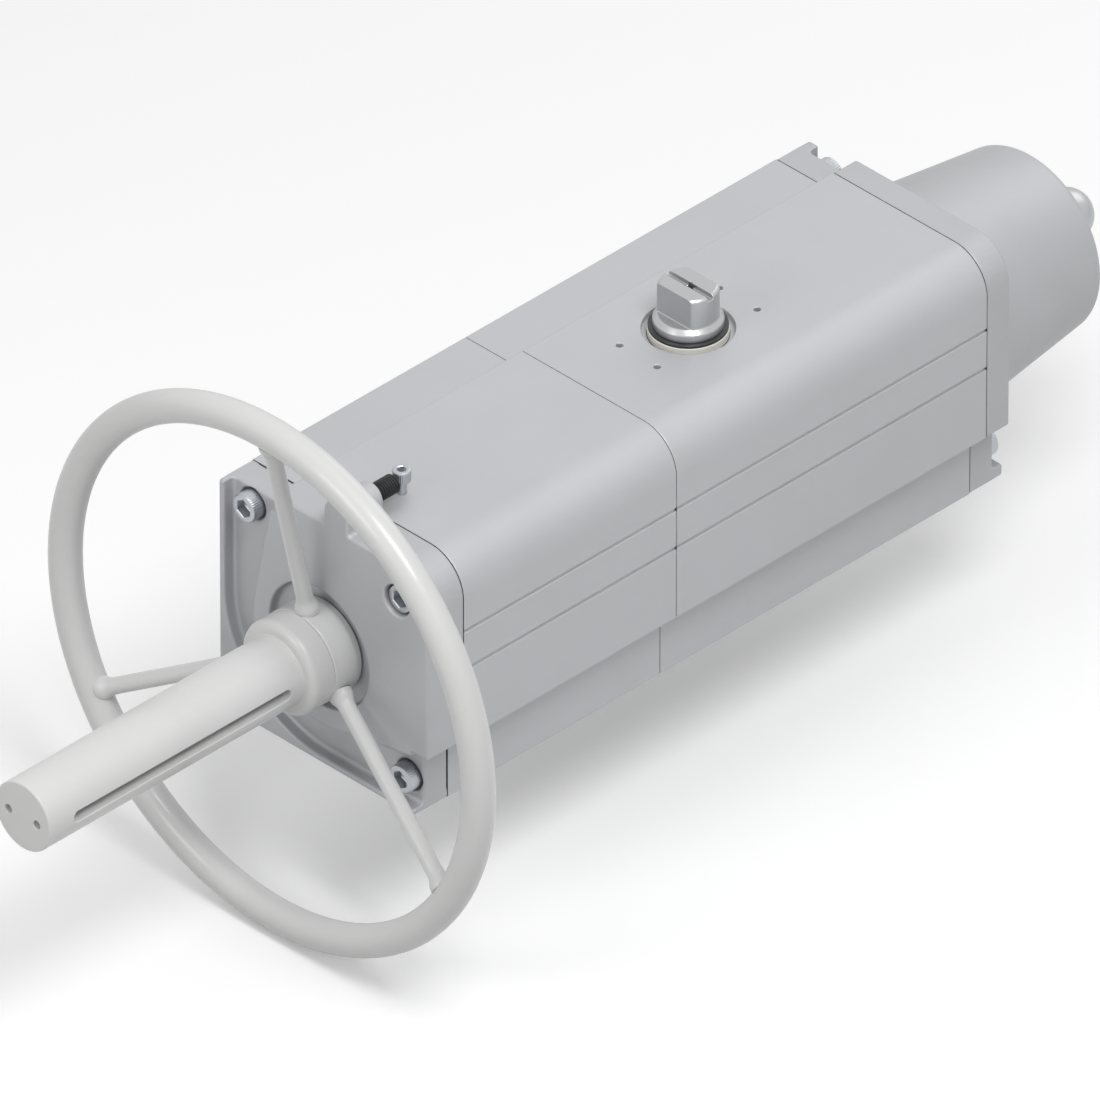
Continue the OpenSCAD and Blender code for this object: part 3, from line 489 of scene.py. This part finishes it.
def lineDistance(line, u, v):
    # Signed distance from each (u, v) to a closed line of points, negative inside: the least distance to any
    # of its stretches, with the sign from how often a ray to the right crosses the line.
    nearest = np.full(np.broadcast(u, v).shape, np.inf)
    inside = np.zeros(nearest.shape, bool)
    for (au, av), (bu, bv) in zip(line, np.roll(line, -1, 0)):
        wayU, wayV = bu - au, bv - av
        length = wayU ** 2 + wayV ** 2
        if length < 1e-9:
            continue
        t = np.clip(((u - au) * wayU + (v - av) * wayV) / length, 0, 1)
        nearest = np.minimum(nearest, (u - au - t * wayU) ** 2 + (v - av - t * wayV) ** 2)
        if abs(wayV) > 1e-9:
            inside ^= ((av > v) != (bv > v)) & (u < wayU * (v - av) / wayV + au)
    return np.sqrt(nearest) * np.where(inside, -1, 1)


def softMin(a, b, reach):
    # The lesser of two distances, bent together where they differ by less than reach: a fillet
    return np.minimum(a, b) - np.maximum(reach - abs(a - b), 0) ** 2 / (4 * reach)


def softMax(a, b, reach):
    return -softMin(-a, -b, reach)


def plate(outline, x, low, high, edge):
    # Distance to an outline drawn out along X from low to high, with its edges rounded
    side, end = outline + edge, abs(x - (low + high) / 2) - (high - low) / 2 + edge
    return np.minimum(np.maximum(side, end), 0) + np.hypot(np.maximum(side, 0), np.maximum(end, 0)) - edge


def ribField(u, v, width):
    # The rib along the back and bottom edges: the square, less the inside of a corner round the axis
    wing = lineDistance(sectionPart("wing", coverShape["inset"]), u, v)
    face = lineDistance(sectionPart("face", coverShape["inset"]), u, v)
    r, far = section["wingOut"] - width, coverShape["beyond"]
    corner = [(-far, 0, 0), (-far, -r, 0), (r, -r, r), (r, far, 0), (-far, far, 0), (-far, 0, 0)]
    inner = lineDistance(roundedLine(corner, 40), u, v)
    return np.maximum(wing, -np.minimum(inner, face))


def sectionPart(part, inset):
    # Outline of the square or of the raised faces, in mm, moved inwards
    s = section
    if part == "wing":
        corners = [(-s["wingIn"], 0, 0), (-s["wingIn"], -s["wingOut"], s["small"]),
                   (s["wingOut"], -s["wingOut"], s["back"]), (s["wingOut"], s["wingTop"], s["small"]),
                   (-s["wingIn"], s["wingTop"], 0), (-s["wingIn"], 0, 0)]
    else:
        corners = [(0, s["faceOut"], 0), (-s["faceOut"], s["faceOut"], s["edge"]),
                   (-s["faceOut"], -s["faceIn"], s["small"]), (s["faceIn"], -s["faceIn"], 0),
                   (s["faceIn"], s["faceOut"], s["small"]), (0, s["faceOut"], 0)]
    corners = np.array(corners, float)
    corners[:, :2] -= inset * np.sign(corners[:, :2])
    return roundedLine(corners, 16)


def screwPockets(field, x, u, v, surface, away, s):
    # Counterbores and holes of the four screws, and the way through the rib's corner to the one in it. Away
    # is -1 where the cover's outer side looks to -X.
    for screwU, screwV in ((-1, -1), (1, -1), (1, 1), (-1, 1)):
        far = np.hypot(u - screwU * s["screwOff"], v - screwV * s["screwOff"])
        depth = (surface - away * s["sink"] - x) * away
        field = softMax(field, -np.maximum(far - s["pocket"], depth), s["brink"])
        field = np.maximum(field, s["screwHole"] - far)
    a = (v + s["screwOff"] - u + s["screwOff"]) / math.sqrt(2)
    b = (v + s["screwOff"] + u - s["screwOff"]) / math.sqrt(2)
    way = np.maximum(np.maximum(-a, a - s["wayLength"]), abs(b) - s["way"])
    return softMax(field, -np.maximum(way, (surface - x) * away), s["brink"])


def wheelCoverField(x, u, v):
    s = coverShape
    joint = wheelJoint / mm
    flange, face = joint - s["flange"], joint - s["flange"] - s["centreHeight"]
    away = np.hypot(u, v)
    outline = lineDistance(sectionLine(s["inset"] * mm) / mm, u, v)
    far = np.array([section["faceIn"], section["faceOut"]])
    turn = math.atan2(far[1], far[0]) - math.acos(s["centre"] / np.hypot(*far))
    touch = s["centre"] * np.array([math.cos(turn), math.sin(turn)])
    out = section["faceOut"]
    block = [(0, 0, 0), (*touch, 0), (*far, 0), (-out, out, section["edge"]), (-out, -far[0], 0),
             (-touch[1], -touch[0], 0), (0, 0, 0)]
    centre = np.maximum(np.minimum(away - s["centre"], lineDistance(roundedLine(block, 20), u, v)), outline)
    bossU, bossV = u + s["studOff"], v - section["faceOut"] - s["studRise"]
    studAway = np.hypot(bossU, bossV)
    bossFoot = np.maximum(abs(bossU) - s["boss"], abs(bossV + s["bossFoot"]) - s["bossFoot"])
    boss = np.minimum(studAway - s["boss"], bossFoot)
    rib = plate(ribField(u, v, s["wheelRib"]), x, flange - s["ribHeight"], joint, s["edge"])
    raised = plate(softMin(centre, boss, s["fillet"]), x, face, joint, s["edge"])
    field = softMin(plate(outline, x, flange, joint, s["edge"]), raised, s["fillet"])
    field = softMin(field, rib, s["fillet"])
    field = np.maximum(field, softMin(outline, boss, s["fillet"]))
    field = screwPockets(field, x, u, v, flange, -1, s)
    dishFloor = face + s["dishDepth"]
    field = softMax(field, -softMax(away - s["dish"], x - dishFloor, 2 * s["brink"]), s["brink"])
    bearings = np.maximum(away - s["bearing"], dishFloor + s["frontWall"] - x)
    field = np.maximum(field, -np.minimum(away - s["bush"], bearings))
    return np.maximum(field, -np.maximum(studAway - s["stud"], joint - s["studDepth"] - x))


def springCoverField(x, u, v):
    s = coverShape
    joint = springJoint / mm
    flange = joint + s["flange"]
    outline = lineDistance(sectionLine(s["inset"] * mm) / mm, u, v)
    rib = plate(ribField(u, v, s["springRib"]), x, joint, flange + s["ribHeight"], s["edge"])
    field = softMin(plate(outline, x, joint, flange, s["edge"]), rib, s["fillet"])
    field = np.maximum(field, outline)
    field = screwPockets(field, x, u, v, flange, 1, s)
    return np.maximum(field, s["springHole"] - np.hypot(u, v))


gridPast = (1.37, 1.6)  # cells of the grid past a cover's box, uneven so that no face lies in its planes


def fieldMesh(name, makeField, low, high, cell):
    # The surface where a field of distances is 0. Each grid cell that it passes gets one point, the mean of
    # the crossings on the cell's edges, and each crossed edge joins the points of its four cells with a quad.
    # The normals are the field's slope there.
    axes = [np.arange(a - gridPast[0] * cell, b + gridPast[1] * cell, cell) for a, b in zip(low, high)]
    x, u, v = np.meshgrid(*axes, indexing="ij", sparse=True)
    field = np.ascontiguousarray(makeField(x, u, v))
    shape = np.array(field.shape)
    total, count, quads = np.zeros((field.size, 3)), np.zeros(field.size), []
    for k in range(3):
        first = field[tuple(slice(0, -1) if i == k else slice(None) for i in range(3))]
        second = field[tuple(slice(1, None) if i == k else slice(None) for i in range(3))]
        crossed = np.argwhere((first < 0) != (second < 0))
        a, b = first[tuple(crossed.T)], second[tuple(crossed.T)]
        point = crossed.astype(float)
        point[:, k] += a / (a - b)
        ring = []
        for stepA, stepB in ((0, 0), (1, 0), (1, 1), (0, 1)):
            cells = crossed.copy()
            cells[:, (k + 1) % 3] -= stepA
            cells[:, (k + 2) % 3] -= stepB
            ids = np.ravel_multi_index(cells.T, shape)
            count += np.bincount(ids, minlength=field.size)
            for i in range(3):
                total[:, i] += np.bincount(ids, point[:, i], minlength=field.size)
            ring.append(ids)
        ring = np.stack(ring, 1)
        quads.append(np.where((a < 0)[:, None], ring, ring[:, ::-1]))
    used, faces = np.unique(np.concatenate(quads), return_inverse=True)
    points = total[used] / count[used, None] * cell + [axis[0] for axis in axes]
    mesh = bpy.data.meshes.new(name)
    mesh.from_pydata((points * mm + (0, axisY, axisZ)).tolist(), [], faces.reshape(-1, 4).tolist())
    mesh.shade_smooth()
    grid = total[used] / count[used, None]
    halfSteps = np.eye(3) * 0.5
    slope = np.stack([fieldAt(field, grid + step) - fieldAt(field, grid - step) for step in halfSteps], -1)
    slope /= np.linalg.norm(slope, axis=1, keepdims=True)
    mesh.normals_split_custom_set_from_vertices(slope.tolist())
    piece = bpy.data.objects.new(name, mesh)
    scene.collection.objects.link(piece)
    return piece


def fieldAt(field, grid):
    # The field between its grid points, in proportion along all three axes
    start = np.clip(np.floor(grid).astype(int), 0, np.array(field.shape) - 2)
    part = grid - start
    value = 0
    for i in (0, 1):
        for j in (0, 1):
            for k in (0, 1):
                weight = np.prod(abs(1 - np.array([i, j, k]) - part), axis=1)
                value = value + weight * field[tuple((start + (i, j, k)).T)]
    return value


def makeCover(name, node, makeField, xLow, xHigh):
    low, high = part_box(node)
    corner = (xLow / mm, (low.y - axisY) / mm, (low.z - axisZ) / mm)
    opposite = (xHigh / mm, (high.y - axisY) / mm, (high.z - axisZ) / mm)
    piece = fieldMesh(name, makeField, corner, opposite, coverShape["cell"])
    place(piece, "housing", looks["cast"], "cast_cover", node)
    print(name, len(piece.data.polygons), "faces")


makeCover("wheelCoverCasting", "wheel_cover", wheelCoverField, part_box("wheel_cover")[0].x, wheelJoint)
springRibEnd = springJoint + (coverShape["flange"] + coverShape["ribHeight"]) * mm
makeCover("springCoverFlange", "spring_cover", springCoverField, springJoint, springRibEnd)

domeShape = {"foot": 70.3, "end": 57.6, "length": 106, "round": 7, "fillet": 3, "wall": 5, "footWall": 9,
             "endWall": 8, "neck": 12, "neckRound": 0.6, "innerRound": 3, "sunk": 1.5}


def makeDome():
    # Spring housing as a closed turned profile: foot with its fillet, slope, round end, back along the inside
    s = domeShape
    start = springJoint / mm + coverShape["flange"]
    end, sunk = start + s["length"], start - s["sunk"]
    inner, footEdge = end - s["endWall"], s["foot"] + s["fillet"]
    corners = [(sunk, footEdge, 0), (start, footEdge, 0), (start, s["foot"], s["fillet"]),
               (end, s["end"], s["round"]), (end, s["neck"], s["neckRound"]), (inner, s["neck"], 0),
               (inner, s["end"] - s["wall"], s["innerRound"]), (sunk, s["foot"] - s["footWall"], 0),
               (sunk, footEdge, 0)]
    profile = roundedLine(np.array(corners), 10) * mm
    return turned("springDome", ("x", (axisY, axisZ)), profile, 160, 30)


place(makeDome(), "housing", looks["cast"], "cast_cover", "spring_cover")
print("cast covers")


# Cover screws and the stop screw, with knurled heads and hexagon sockets

screwShape = {"shank": 6.0, "head": 9.0, "headLength": 12.0, "socket": 5.0, "teeth": 40, "knurl": 0.025,
              "steps": 240}
smallScrew = {"shank": 3.0, "head": 5.5, "headLength": 8.0, "socket": 2.5, "teeth": 30, "knurl": 0.03,
              "steps": 180}
# Small edges of all screws: chamfer at the tip, fillet at the neck, the head's rim, the socket's mouth and
# the flat round it, and the cone at the socket's bottom
screwEdges = {"tip": 1.2, "neck": 0.4, "rim": 1.0, "mouth": 0.4, "flat": 1.2, "cone": 1.5}


def screwProfile(length, s):
    # (along, radius, kind) from the tip to the bottom of the socket, with the head's underside at 0. Kind 1
    # is knurled, 2 a hexagon.
    e, top, r, head, socket = screwEdges, -s["headLength"], s["shank"], s["head"], s["socket"]
    shank = [(length, 0, 0), (length, r - e["tip"], 0), (length - e["tip"], r, 0), (e["neck"], r, 0),
             (0, r + e["neck"], 0)]
    side = [(0, head - 0.5, 0), (-0.4, head, 1), (top * 0.25, head, 1), (top * 0.5, head, 1),
            (top * 0.75, head, 1), (top + e["rim"], head, 1), (top + 0.3, head - 0.45, 0),
            (top, head - e["rim"], 0)]
    inner = [(top, socket + e["flat"], 0), (top, socket + e["mouth"], 2), (top + e["mouth"], socket, 2),
             (top / 2, socket, 2), (top / 2 + 0.6, socket - 0.8, 2), (top / 2 + e["cone"], 0, 0)]
    return np.array(shank + side + inner, float)


def socketScrew(axis, seat, toward, length, s):
    # Points and faces of one screw, its head's underside at seat and its head pointing against toward
    rows = screwProfile(length, s)
    angle = np.linspace(0, 2 * math.pi, s["steps"], endpoint=False)[None, :]
    radius = np.repeat(rows[:, 1:2], s["steps"], 1)
    hexagon = 1 / np.cos((angle + math.pi / 6) % (math.pi / 3) - math.pi / 6)
    knurl = 1 - s["knurl"] * (0.5 + 0.5 * np.cos(s["teeth"] * angle))
    radius = radius * np.where(rows[:, 2:] == 2, hexagon, np.where(rows[:, 2:] == 1, knurl, 1))
    along = seat + toward * rows[:, :1] * mm
    return around(axis, along, radius * mm, angle).reshape(-1, 3), gridFaces(len(rows), s["steps"])


def makeCoverScrews(name, node, toward):
    low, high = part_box(node)
    s = screwShape
    away = (high.y - low.y) / 2 - s["head"] * mm
    headEnd, tip = (low.x, high.x) if toward > 0 else (high.x, low.x)
    seat = headEnd + toward * s["headLength"] * mm
    screws = []
    for u, v in ((-1, -1), (1, -1), (1, 1), (-1, 1)):
        screwAxis = ("x", (axisY + u * away, axisZ + v * away))
        screws.append(socketScrew(screwAxis, seat, toward, abs(tip - seat) / mm, s))
    place(joined(name, screws, 32), "housing", looks["zinc"], "zinc_screw", node)


makeCoverScrews("wheelCoverScrews", "wheel_cover_screws", 1)
makeCoverScrews("springCoverScrews", "spring_cover_screws", -1)
low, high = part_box("stop_screw")
seat = high.z - smallScrew["headLength"] * mm
screwAxis = ("z", ((low.x + high.x) / 2, (low.y + high.y) / 2))
points, faces = socketScrew(screwAxis, seat, -1, (seat - low.z) / mm, smallScrew)
place(makePiece("stopScrew", points, faces, 32), "housing", looks["zinc"], "zinc_screw", "stop_screw")
print("screws")


# Handwheel rim and spokes

wheelShape = {"rimSteps": 288, "tubeSteps": 40, "spokeSteps": 32, "rod": 5 * mm, "spokeFrom": 7.3 * mm,
              "inHub": 1 * mm, "inRim": 6 * mm, "weldFrom": 3 * mm, "weldReach": 7 * mm / 1.6,
              "weldSize": 2.2 * mm}


def makeRim():
    # Ring of round tube: radius from the wheel's axis = ring + tube sin v, along the axis = tube cos v.
    low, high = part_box("handwheel_rim")
    tube = (high.x - low.x) / 2
    ring = (high.z - low.z) / 2 - tube
    centre = (low + high) / 2
    u = np.linspace(0, 2 * math.pi, wheelShape["rimSteps"], endpoint=False)[:, None]
    v = np.linspace(0, 2 * math.pi, wheelShape["tubeSteps"], endpoint=False)[None, :]
    points = around(("x", (centre.y, centre.z)), centre.x + tube * np.cos(v), ring + tube * np.sin(v), u)
    points = np.concatenate([points, points[:1]])
    rim = makePiece("wheelRim", points.reshape(-1, 3), gridFaces(len(points), wheelShape["tubeSteps"]), 180)
    return rim, centre, ring


def makeSpokes(centre, ring):
    # Straight rods whose radius swells to a weld at both ends: r = rod + weld exp(-(distance / reach)^2).
    low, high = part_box("handwheel_hub")
    s = wheelShape
    hubRadius = (high.z - low.z) / 2
    start = np.array([low.x + s["spokeFrom"], hubRadius - s["inHub"]])
    end = np.array([centre.x, ring - s["inRim"]])
    length = np.linalg.norm(end - start)
    t = np.concatenate([np.linspace(0, 0.12, 14), np.linspace(0.14, 0.86, 12), np.linspace(0.88, 1, 14)])
    t = t[:, None]
    near = np.maximum(np.minimum(t, 1 - t) * length - s["weldFrom"], 0)
    radius = s["rod"] + s["weldSize"] * np.exp(-(near / s["weldReach"]) ** 2)
    radius[[0, -1]] = 0
    v = np.linspace(0, 2 * math.pi, s["spokeSteps"], endpoint=False)[None, :]
    way = (end - start) / length
    x = start[0] + (end - start)[0] * t - way[1] * radius * np.cos(v)
    out = start[1] + (end - start)[1] * t + way[0] * radius * np.cos(v)
    side = radius * np.sin(v)
    spokes, faces = [], gridFaces(len(t), s["spokeSteps"])
    for k in range(3):
        a = math.radians(90 + 120 * k)
        y = centre.y + out * math.cos(a) - side * math.sin(a)
        z = centre.z + out * math.sin(a) + side * math.cos(a)
        spokes.append((np.stack([x, y, z], -1).reshape(-1, 3), faces))
    return joined("wheelSpokes", spokes, 60)


rim, wheelCentre, ringRadius = makeRim()
place(rim, "handwheel", looks["coated"], "coated_wheel", "handwheel_rim")
place(makeSpokes(wheelCentre, ringRadius), "handwheel", looks["coated"], "coated_wheel", "handwheel_spokes")
print("handwheel rim and spokes")


# Guard tube with its collar, slot and the two holes for a pin spanner

guardShape = {"collar": 29.7, "collarLength": 17.3, "collarRound": 5, "backRound": 1.1, "footRound": 0.8,
              "tube": 22, "endRound": 1.2, "bore": 13.5, "end": 8, "nut": 19, "nutDepth": 9.5,
              "slotHalf": 3.5, "slotLength": 171, "slotFrom": 10.2, "slotInside": 4.0, "slotOutside": 34.0,
              "chamfer": 0.45, "boreRound": 0.5, "hole": 2.75, "holeEdge": 0.35, "holeOff": 11.25,
              "holeDepth": 6, "holeStart": 2, "edgeStart": 0.05, "edgeDepth": 0.3, "drillTip": 1.5,
              "steps": 192}


def slotCutter(s, collarFront):
    # A round-ended prism from inside the tube outwards. Its last rings widen along the tube's surface, for a
    # chamfer: each ring is (how much wider, height over the surface or None, distance from the axis).
    rings = []
    turn = np.linspace(-0.5, 0.5, 17) * math.pi
    near = collarFront - s["slotFrom"]
    ends = [near - s["slotHalf"], near - s["slotLength"] + s["slotHalf"]]
    edge = s["chamfer"]
    for grow, height, reach in ((0, None, s["slotInside"]), (0, -edge, 0), (edge * 2, edge, 0),
                                (edge * 2, None, s["slotOutside"])):
        half = s["slotHalf"] + grow
        x = np.concatenate([ends[0] + half * np.cos(turn), ends[1] - half * np.cos(turn)])
        z = np.concatenate([half * np.sin(turn), -half * np.sin(turn)])
        out = np.full(len(x), reach) if height is None else np.sqrt(s["tube"] ** 2 - z ** 2) + height
        rings.append(np.column_stack([x, -out, z]))
    points = np.concatenate(rings) * mm + (0, axisY, axisZ)
    cutter = makePiece("slotCutter", points, gridFaces(len(rings), len(x)), 30)
    closeEnds(cutter.data)
    return cutter


def makeGuard():
    s = guardShape
    back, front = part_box("spindle_guard")[1].x / mm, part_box("spindle_guard")[0].x / mm
    collarFront = back - s["collarLength"]
    corners = [(back, s["nut"], 0), (back, s["collar"], s["backRound"]),
               (collarFront, s["collar"], s["collarRound"]), (collarFront, s["tube"], s["footRound"]),
               (front, s["tube"], s["endRound"]), (front, 0, 0)]
    inner, nutEnd = front + s["end"], back - s["nutDepth"]
    inside = [(inner, 0, 0), (inner, s["bore"], s["boreRound"]), (nutEnd, s["bore"], 0),
              (nutEnd, s["nut"], 0), (back, s["nut"], 0)]
    profile = np.concatenate([roundedLine(corners, 8), roundedLine(inside, 5)]) * mm
    tube = turned("guardTube", ("x", (axisY, axisZ)), profile, s["steps"], 30)
    cutters = [slotCutter(s, collarFront)]
    for side in (-1, 1):
        wide, bottom = s["hole"] + s["holeEdge"], front + s["holeDepth"]
        hole = np.array([(front - s["holeStart"], 0), (front - s["holeStart"], wide),
                         (front - s["edgeStart"], wide), (front + s["edgeDepth"], s["hole"]),
                         (bottom, s["hole"]), (bottom + s["drillTip"], 0)]) * mm
        cutters.append(turned("spannerHole", ("x", (axisY + side * s["holeOff"] * mm, axisZ)), hole, 40, 30))
    for cutter in cutters:
        cut = tube.modifiers.new("cut", "BOOLEAN")
        cut.operation, cut.solver, cut.object = "DIFFERENCE", "EXACT", cutter
    bpy.context.view_layer.update()
    cutTube = bpy.data.meshes.new_from_object(tube.evaluated_get(bpy.context.evaluated_depsgraph_get()))
    tube.modifiers.clear()
    tube.data = cutTube
    for cutter in cutters:
        bpy.data.objects.remove(cutter)
    tidyMesh(tube.data, 32)
    return tube


place(makeGuard(), "handwheel", looks["coated"], "coated_wheel", "spindle_guard")
print("guard tube")


# Spindle with its left-hand thread, and the stop stud. Flats are the shares of a pitch where the crest starts
# and ends and where the root starts and ends.

spindleThread = {"pitch": 5, "hand": -1, "columns": 48, "depth": 0.5, "fade": 0.6,
                 "flats": (0.0, 0.3, 0.5, 0.8)}
studThread = {"pitch": 1.75, "hand": 1, "columns": 32, "depth": 0.55, "fade": 0.6,
              "flats": (0.0, 0.12, 0.56, 0.68)}
low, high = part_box("spindle")
spindleAxis = ("x", ((low.y + high.y) / 2, (low.z + high.z) / 2))
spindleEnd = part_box("thrust_foot")[0].x
spindle = threadRod("spindleThread", spindleAxis, low.x, spindleEnd, (high.z - low.z) / 2, spindleThread)
place(spindle, "spindle", looks["turnedSteel"], "machined_steel", "spindle")
low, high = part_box("stop_stud")
studAxis = ("x", ((low.y + high.y) / 2, (low.z + high.z) / 2))
stud = threadRod("stopStud", studAxis, low.x, high.x, (high.z - low.z) / 2, studThread)
place(stud, "housing", looks["dark"], "dark_steel", "stop_stud")
print("threads")


# Springs

springShape = {"sides": 16, "steps": 28, "outerWire": 5, "outerTurns": 8, "innerWire": 3.5, "innerTurns": 11}


def makeSpring(name, node, wire, turns):
    # Round wire along a helix: the first and last turn lie closed, and the middle ones share the rest
    low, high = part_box(node)
    mean = (high.z - low.z) / 2 - wire
    free = high.x - low.x - 2 * wire
    t = np.linspace(0, turns, turns * springShape["steps"] + 1)
    along = np.interp(t, [0, 1, turns - 1, turns], [0, 2 * wire, free - 2 * wire, free])
    angle = 2 * math.pi * t
    line = np.stack([low.x + wire + along, axisY + mean * np.sin(angle), axisZ - mean * np.cos(angle)], -1)
    way = np.gradient(line, axis=0)
    way /= np.linalg.norm(way, axis=1, keepdims=True)
    out = np.stack([0 * t, np.sin(angle), -np.cos(angle)], -1)
    side = np.cross(way, out)
    v = np.linspace(0, 2 * math.pi, springShape["sides"], endpoint=False)[None, :, None]
    rings = line[:, None] + wire * (np.cos(v) * out[:, None] + np.sin(v) * side[:, None])
    tips = [np.repeat(tip[:, None], rings.shape[1], 1) for tip in (line[:1], line[-1:])]
    rings = np.concatenate([tips[0], rings, tips[1]])
    piece = makePiece(name, rings.reshape(-1, 3), gridFaces(len(rings), springShape["sides"]), 50)
    place(piece, "housing", looks["springWire"], "spring_steel", node)
    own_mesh(piece)


makeSpring("outerSpringWire", "outer_spring", springShape["outerWire"] * mm, springShape["outerTurns"])
makeSpring("innerSpringWire", "inner_spring", springShape["innerWire"] * mm, springShape["innerTurns"])
print("springs")


# Floor, light and camera

# Greys and strengths: seen is what the camera and reflections get, bounce and lit what lights the object.
# The floor's height and half side are in metres.
floorShape = {"seen": 0.95, "bounce": 0.45, "glow": 0.17, "rough": 0.9, "height": -0.0934, "half": 40.0}
skyLight = {"seen": 1.0, "lit": 0.45}
cameraShape = {"pixel": 0.56698, "frame": 1100, "lens": 1600.0, "aimLeft": 137.8, "aimUp": 21.55}
lampAim = (-0.09, 0, 0.08)  # metres
lamps = {  # place, size in metres and power in watts
    "key lamp": ((-0.6, -1.3, 2.4), 1.2, 34),
    "raking lamp": ((-2.0, 0.15, 1.2), 0.8, 7),
    "back lamp": ((1.8, 0.2, 1.3), 1.4, 5),
}


def grey(value):
    return (value, value, value, 1)


def makeFloor():
    s = floorShape
    half = s["half"]
    corners = [(-half, -half, 0), (half, -half, 0), (half, half, 0), (-half, half, 0)]
    mesh = bpy.data.meshes.new("floor")
    mesh.from_pydata(corners, [], [(0, 1, 2, 3)])
    floor = bpy.data.objects.new("floor", mesh)
    floor.location.z = s["height"]
    scene.collection.objects.link(floor)
    look = bpy.data.materials.new("pale floor")
    look.use_nodes = True
    shader = next(n for n in look.node_tree.nodes if n.type == "BSDF_PRINCIPLED")
    g = Graph(look.node_tree)
    path = g.add("ShaderNodeLightPath")
    seen = g.math("MAXIMUM", path.outputs["Is Camera Ray"], path.outputs["Is Glossy Ray"])
    g.feed(shader, "Base Color", g.mix(seen, grey(s["bounce"]), grey(s["seen"])))
    shader.inputs["Roughness"].default_value = s["rough"]
    shader.inputs["Specular IOR Level"].default_value = 0.0
    shader.inputs["Emission Strength"].default_value = 1.0
    g.feed(shader, "Emission Color", g.mix(seen, grey(0), grey(s["glow"])))
    mesh.materials.append(look)


def makeWorld():
    # White for what the camera and reflections see, softer for what lights the object.
    world = bpy.data.worlds.new("studio")
    scene.world = world
    world.use_nodes = True
    g = Graph(world.node_tree)
    background = next(n for n in world.node_tree.nodes if n.type == "BACKGROUND")
    path = g.add("ShaderNodeLightPath")
    seen = g.math("MAXIMUM", path.outputs["Is Camera Ray"], path.outputs["Is Glossy Ray"])
    seen = g.math("MAXIMUM", seen, path.outputs["Is Transmission Ray"])
    strength = g.math("ADD", g.math("MULTIPLY", seen, skyLight["seen"] - skyLight["lit"]), skyLight["lit"])
    background.inputs["Color"].default_value = (1, 1, 1, 1)
    g.feed(background, "Strength", strength)


def makeLamp(name, spot, size, power):
    data = bpy.data.lights.new(name, "AREA")
    data.shape, data.size, data.energy = "DISK", size, power
    lamp = bpy.data.objects.new(name, data)
    lamp.location = spot
    lamp.rotation_mode = "QUATERNION"
    lamp.rotation_quaternion = (Vector(lampAim) - Vector(spot)).to_track_quat("-Z", "Y")
    scene.collection.objects.link(lamp)


def makeCamera():
    # The photograph is an isometric drawing, so the camera stands far off on the line (1, 1, -1) with a long
    # lens. Pixel is what one pixel of the frame measures in mm, the aims are in pixels from the shaft's foot.
    s = cameraShape
    pixel = s["pixel"] * mm
    look3 = Vector((1, 1, -1)).normalized()
    right, up = Vector((1, -1, 0)).normalized(), Vector((1, 1, 2)).normalized()
    aim = right * (-s["aimLeft"] * pixel) + up * (s["aimUp"] * pixel)
    data = bpy.data.cameras.new("camera")
    data.lens = s["lens"]
    distance = pixel * s["frame"] * s["lens"] / data.sensor_width
    camera = bpy.data.objects.new("camera", data)
    camera.location = aim - look3 * distance
    camera.rotation_mode = "QUATERNION"
    camera.rotation_quaternion = look3.to_track_quat("-Z", "Y")
    data.clip_start, data.clip_end = 1.0, distance * 2
    scene.collection.objects.link(camera)
    scene.camera = camera


makeFloor()
makeWorld()
for name, (spot, size, power) in lamps.items():
    makeLamp(name, spot, size, power)
makeCamera()
scene.view_settings.view_transform = "Standard"
print("stage, lamps and camera")
